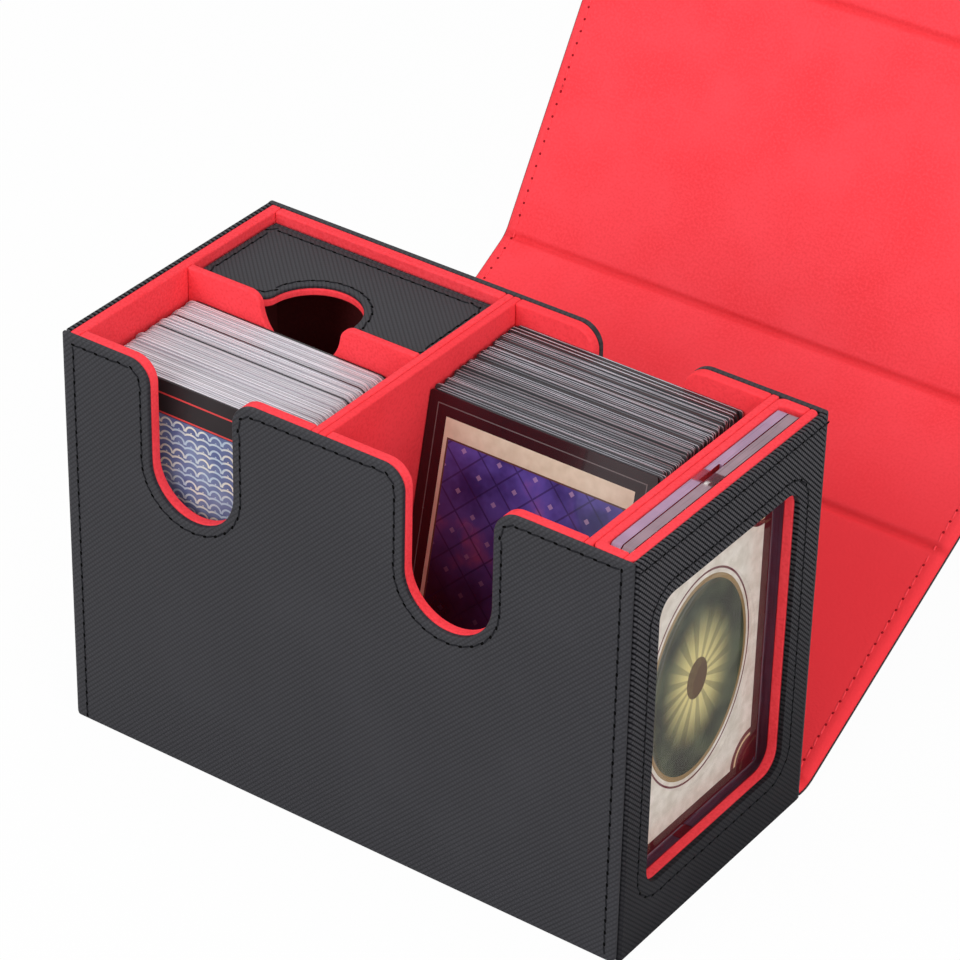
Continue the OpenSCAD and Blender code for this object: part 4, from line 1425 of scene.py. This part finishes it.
class DECKBOX_OT_decks(bpy.types.Operator):
    """Makes both decks of sleeved cards and their printed front cards"""

    bl_idname = "deckbox.decks"
    bl_label = "Decks of cards"

    def execute(self, context):
        """A deck and its front card for each bay."""
        look = settings().cards
        self.deck("main", lattice_print, look.sleeve_corner, look.seed)
        self.deck("side", scallop_print, look.corner, look.seed + 10)
        return {"FINISHED"}

    def deck(self, bay, printed, corner, seed):
        """One deck: the front card is printed, and the rest stand behind it."""
        look = settings().cards
        tones = [getattr(look, f"{bay}_{part}") for part in ("sleeve", "core", "spread", "gaps")]
        edges = shared(card_edges, f"{bay}_deck_edges", *tones)
        front, *rest = card_places(f"{bay}_cards")
        middle, lean, extents = front
        mesh = bpy.data.meshes.new(f"{bay}_card_places")
        mesh.from_pydata([m for m, a, e in rest], [], [])
        leans = mesh.attributes.new("lean", "FLOAT", "POINT")
        leans.data.foreach_set("value", [a for m, a, e in rest])
        cards = grown(
            f"{bay}_deck_cards", mesh, deck_tree(), Width=extents[0], Height=extents[1], Thickness=extents[2],
            Corner=corner, Lift=look.lift, Slide=look.slide, Turn=look.tilt, Seed=seed, Material=edges,
        )
        set_on(cards, f"{bay}_deck", "card_stock", f"{bay}_cards")
        up = Vector((0, math.sin(lean), math.cos(lean)))
        material = shared(printed, f"{bay}_card_print", extents[0], extents[1])
        face = plate(f"{bay}_front_card", middle, Vector((1, 0, 0)), up, extents, corner, material)
        set_on(face, f"{bay}_deck", "card_stock")


class DECKBOX_OT_holder(bpy.types.Operator):
    """Makes the clear holder, its magnet and the card inside"""

    bl_idname = "deckbox.holder"
    bl_label = "Card holder"

    def execute(self, context):
        """Two clear halves with a fine seam, the display card and the magnet."""
        look = settings().holder
        clear = shared(clear_plastic, "holder_plastic")
        shade = shared(painted_hole_shade, "thumb_slot_shade", look.slot)
        seam, _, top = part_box("holder_inner_half")[1]
        magnet = 0.5 * sum(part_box("holder_magnet"), Vector())
        for node, way, colour in (
            ("holder_inner_half", -1, look.inner_edge), ("holder_window_half", 1, look.window_edge)
        ):

            def off_seam(point, way=way):
                """Faces at the seam stand back by half its gap."""
                if close(point.x, seam):
                    point.x += way * 0.5 * look.seam
                return point

            half = rounded_board(node + "_clear", node, clear, look.rounding, move=off_seam)
            half.data.materials.append(plastic_edge(node + "_edge", colour, magnet))
            half.data.materials.append(shade)
            for face in half.data.polygons:
                if abs(face.normal.x) < FACES_ROUGHLY:
                    sunk = 2 * look.rounding < top - face.center.z < SLOT_REACH
                    face.material_index = 2 if sunk and face.normal.z > FACES_ROUGHLY else 1
            set_on(half, "holder", "clear_plastic", node)
        low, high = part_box("display_card")
        extents = (high.y - low.y, high.z - low.z, high.x - low.x)
        printed = shared(medallion_print, "display_card_print", extents[0], extents[1])
        middle, across, up = 0.5 * (low + high), Vector((0, 1, 0)), Vector((0, 0, 1))
        card = plate("display_card_front", middle, across, up, extents, settings().cards.corner, printed)
        set_on(card, "holder", "card_stock", "display_card")
        dress("holder_magnet", shared(nickel, "holder_nickel", (0.72, 0.58, 0.34)))
        return {"FINISHED"}


class DECKBOX_OT_stage(bpy.types.Operator):
    """Sets up the pale floor, the soft lamps and the camera"""

    bl_idname = "deckbox.stage"
    bl_label = "Studio"

    # Width and place of each soft lamp, reach of the floor, and the camera's nearest and furthest sight
    LAMPS = {
        "key": (0.9, (-0.45, -1.1, 0.7)),
        "fill": (0.9, (1.15, -0.45, 0.7)),
        "top": (1.1, (0.0, 0.15, 1.35)),
    }
    FLOOR_REACH = 3.0
    SIGHT = (0.05, 50.0)
    # How far the floor lies under the box
    FLOOR_GAP = 0.2 * MM

    def execute(self, context):
        """Floor, world, lamps and camera."""
        look = settings().studio
        context.scene.view_settings.view_transform = "Standard"
        self.floor(look)
        self.sky(context.scene, look)
        for name, (width, spot) in self.LAMPS.items():
            self.lamp(name + "_lamp", getattr(look, name), width, spot)
        self.camera(context.scene, look)
        return {"FINISHED"}

    def floor(self, look):
        """A wide floor that shows white to the camera and keeps a faint shadow."""
        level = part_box("base_cover")[0].z - self.FLOOR_GAP
        ways = ((-1, -1), (1, -1), (1, 1), (-1, 1))
        corners = [(x * self.FLOOR_REACH, y * self.FLOOR_REACH, level) for x, y in ways]
        mesh = bpy.data.meshes.new("floor")
        mesh.from_pydata(corners, [], [(0, 1, 2, 3)])
        f = Finish("studio_floor")
        f.shade(Base_Color=(*look.floor, 1.0), Roughness=0.9, Specular_IOR_Level=0.0)
        white = f.first("ShaderNodeEmission", {"Color": (1.0, 1.0, 1.0, 1.0), "Strength": 1.0})
        path = f.node("ShaderNodeLightPath").outputs
        seen = f.maths("MAXIMUM", path["Is Camera Ray"], path["Is Transmission Ray"])
        mesh.materials.append(f.mixed(f.maths("MULTIPLY", seen, look.floor_white), white))
        linked("floor", mesh)

    def sky(self, scene, look):
        """Even light, with a white background behind the object."""
        scene.world = bpy.data.worlds.new("studio_sky")
        scene.world.use_nodes = True
        g = Graph(scene.world.node_tree)
        background = g.tree.nodes["Background"]
        path = g.node("ShaderNodeLightPath").outputs
        seen = g.maths("MAXIMUM", path["Is Camera Ray"], path["Is Transmission Ray"])
        seen = g.maths("MAXIMUM", seen, path["Is Glossy Ray"])
        background.inputs["Color"].default_value = (1.0, 1.0, 1.0, 1.0)
        g.feed(background.inputs["Strength"], g.maths("MULTIPLY_ADD", seen, 1.0 - look.sky, look.sky))

    def lamp(self, name, watts, width, spot):
        """A square soft lamp that faces the box."""
        data = bpy.data.lights.new(name, "AREA")
        data.energy = watts
        data.size = width
        lamp = bpy.data.objects.new(name, data)
        lamp.location = spot
        lamp.rotation_euler = (settings().studio.target - lamp.location).to_track_quat("-Z", "Y").to_euler()
        bpy.context.scene.collection.objects.link(lamp)

    def camera(self, scene, look):
        """The photograph's viewing angle."""
        data = bpy.data.cameras.new("camera")
        data.lens = look.lens
        data.clip_start, data.clip_end = self.SIGHT
        camera = bpy.data.objects.new("camera", data)
        a, e = look.azimuth, look.elevation
        back = Vector((math.sin(a) * math.cos(e), -math.cos(a) * math.cos(e), math.sin(e)))
        camera.location = Vector(look.target) + back * look.distance
        camera.rotation_mode = "QUATERNION"
        level = (-back).to_track_quat("-Z", "Y")
        camera.rotation_quaternion = level @ Quaternion((0, 0, 1), look.roll)
        scene.collection.objects.link(camera)
        scene.camera = camera


OPERATORS = (
    DECKBOX_OT_shell, DECKBOX_OT_linings, DECKBOX_OT_tray, DECKBOX_OT_stitching, DECKBOX_OT_flap,
    DECKBOX_OT_decks, DECKBOX_OT_holder, DECKBOX_OT_stage,
)


class DECKBOX_PT_pieces(bpy.types.Panel):
    """Lists the pieces of the card deck box"""

    bl_idname = "DECKBOX_PT_pieces"
    bl_label = "Card deck box"
    bl_space_type = "VIEW_3D"
    bl_region_type = "UI"
    bl_category = "Deck Box"

    def draw(self, context):
        """A button for each operator, then the settings."""
        for operator in OPERATORS:
            self.layout.operator(operator.bl_idname)
        for group in DeckBoxSettings.__annotations__:
            box = self.layout.box()
            box.label(text=group.capitalize())
            values = getattr(context.scene.deck_box, group)
            for value in type(values).__annotations__:
                box.prop(values, value)


CLASSES = (
    LeatherclothSettings, SuedeSettings, StitchSettings, FlapSettings, CardSettings, HolderSettings,
    StudioSettings, DeckBoxSettings, *OPERATORS, DECKBOX_PT_pieces,
)


def register():
    """Registers the classes and the scene's settings."""
    for item in CLASSES:
        bpy.utils.register_class(item)
    bpy.types.Scene.deck_box = PointerProperty(type=DeckBoxSettings)


def unregister():
    """Removes the scene's settings and the classes."""
    del bpy.types.Scene.deck_box
    for item in reversed(CLASSES):
        bpy.utils.unregister_class(item)


def main():
    register()
    bpy.ops.deckbox.shell()
    bpy.ops.deckbox.linings()
    bpy.ops.deckbox.tray()
    bpy.ops.deckbox.stitching()
    bpy.ops.deckbox.flap()
    bpy.ops.deckbox.decks()
    bpy.ops.deckbox.holder()
    bpy.ops.deckbox.stage()


if __name__ == "__main__":
    main()
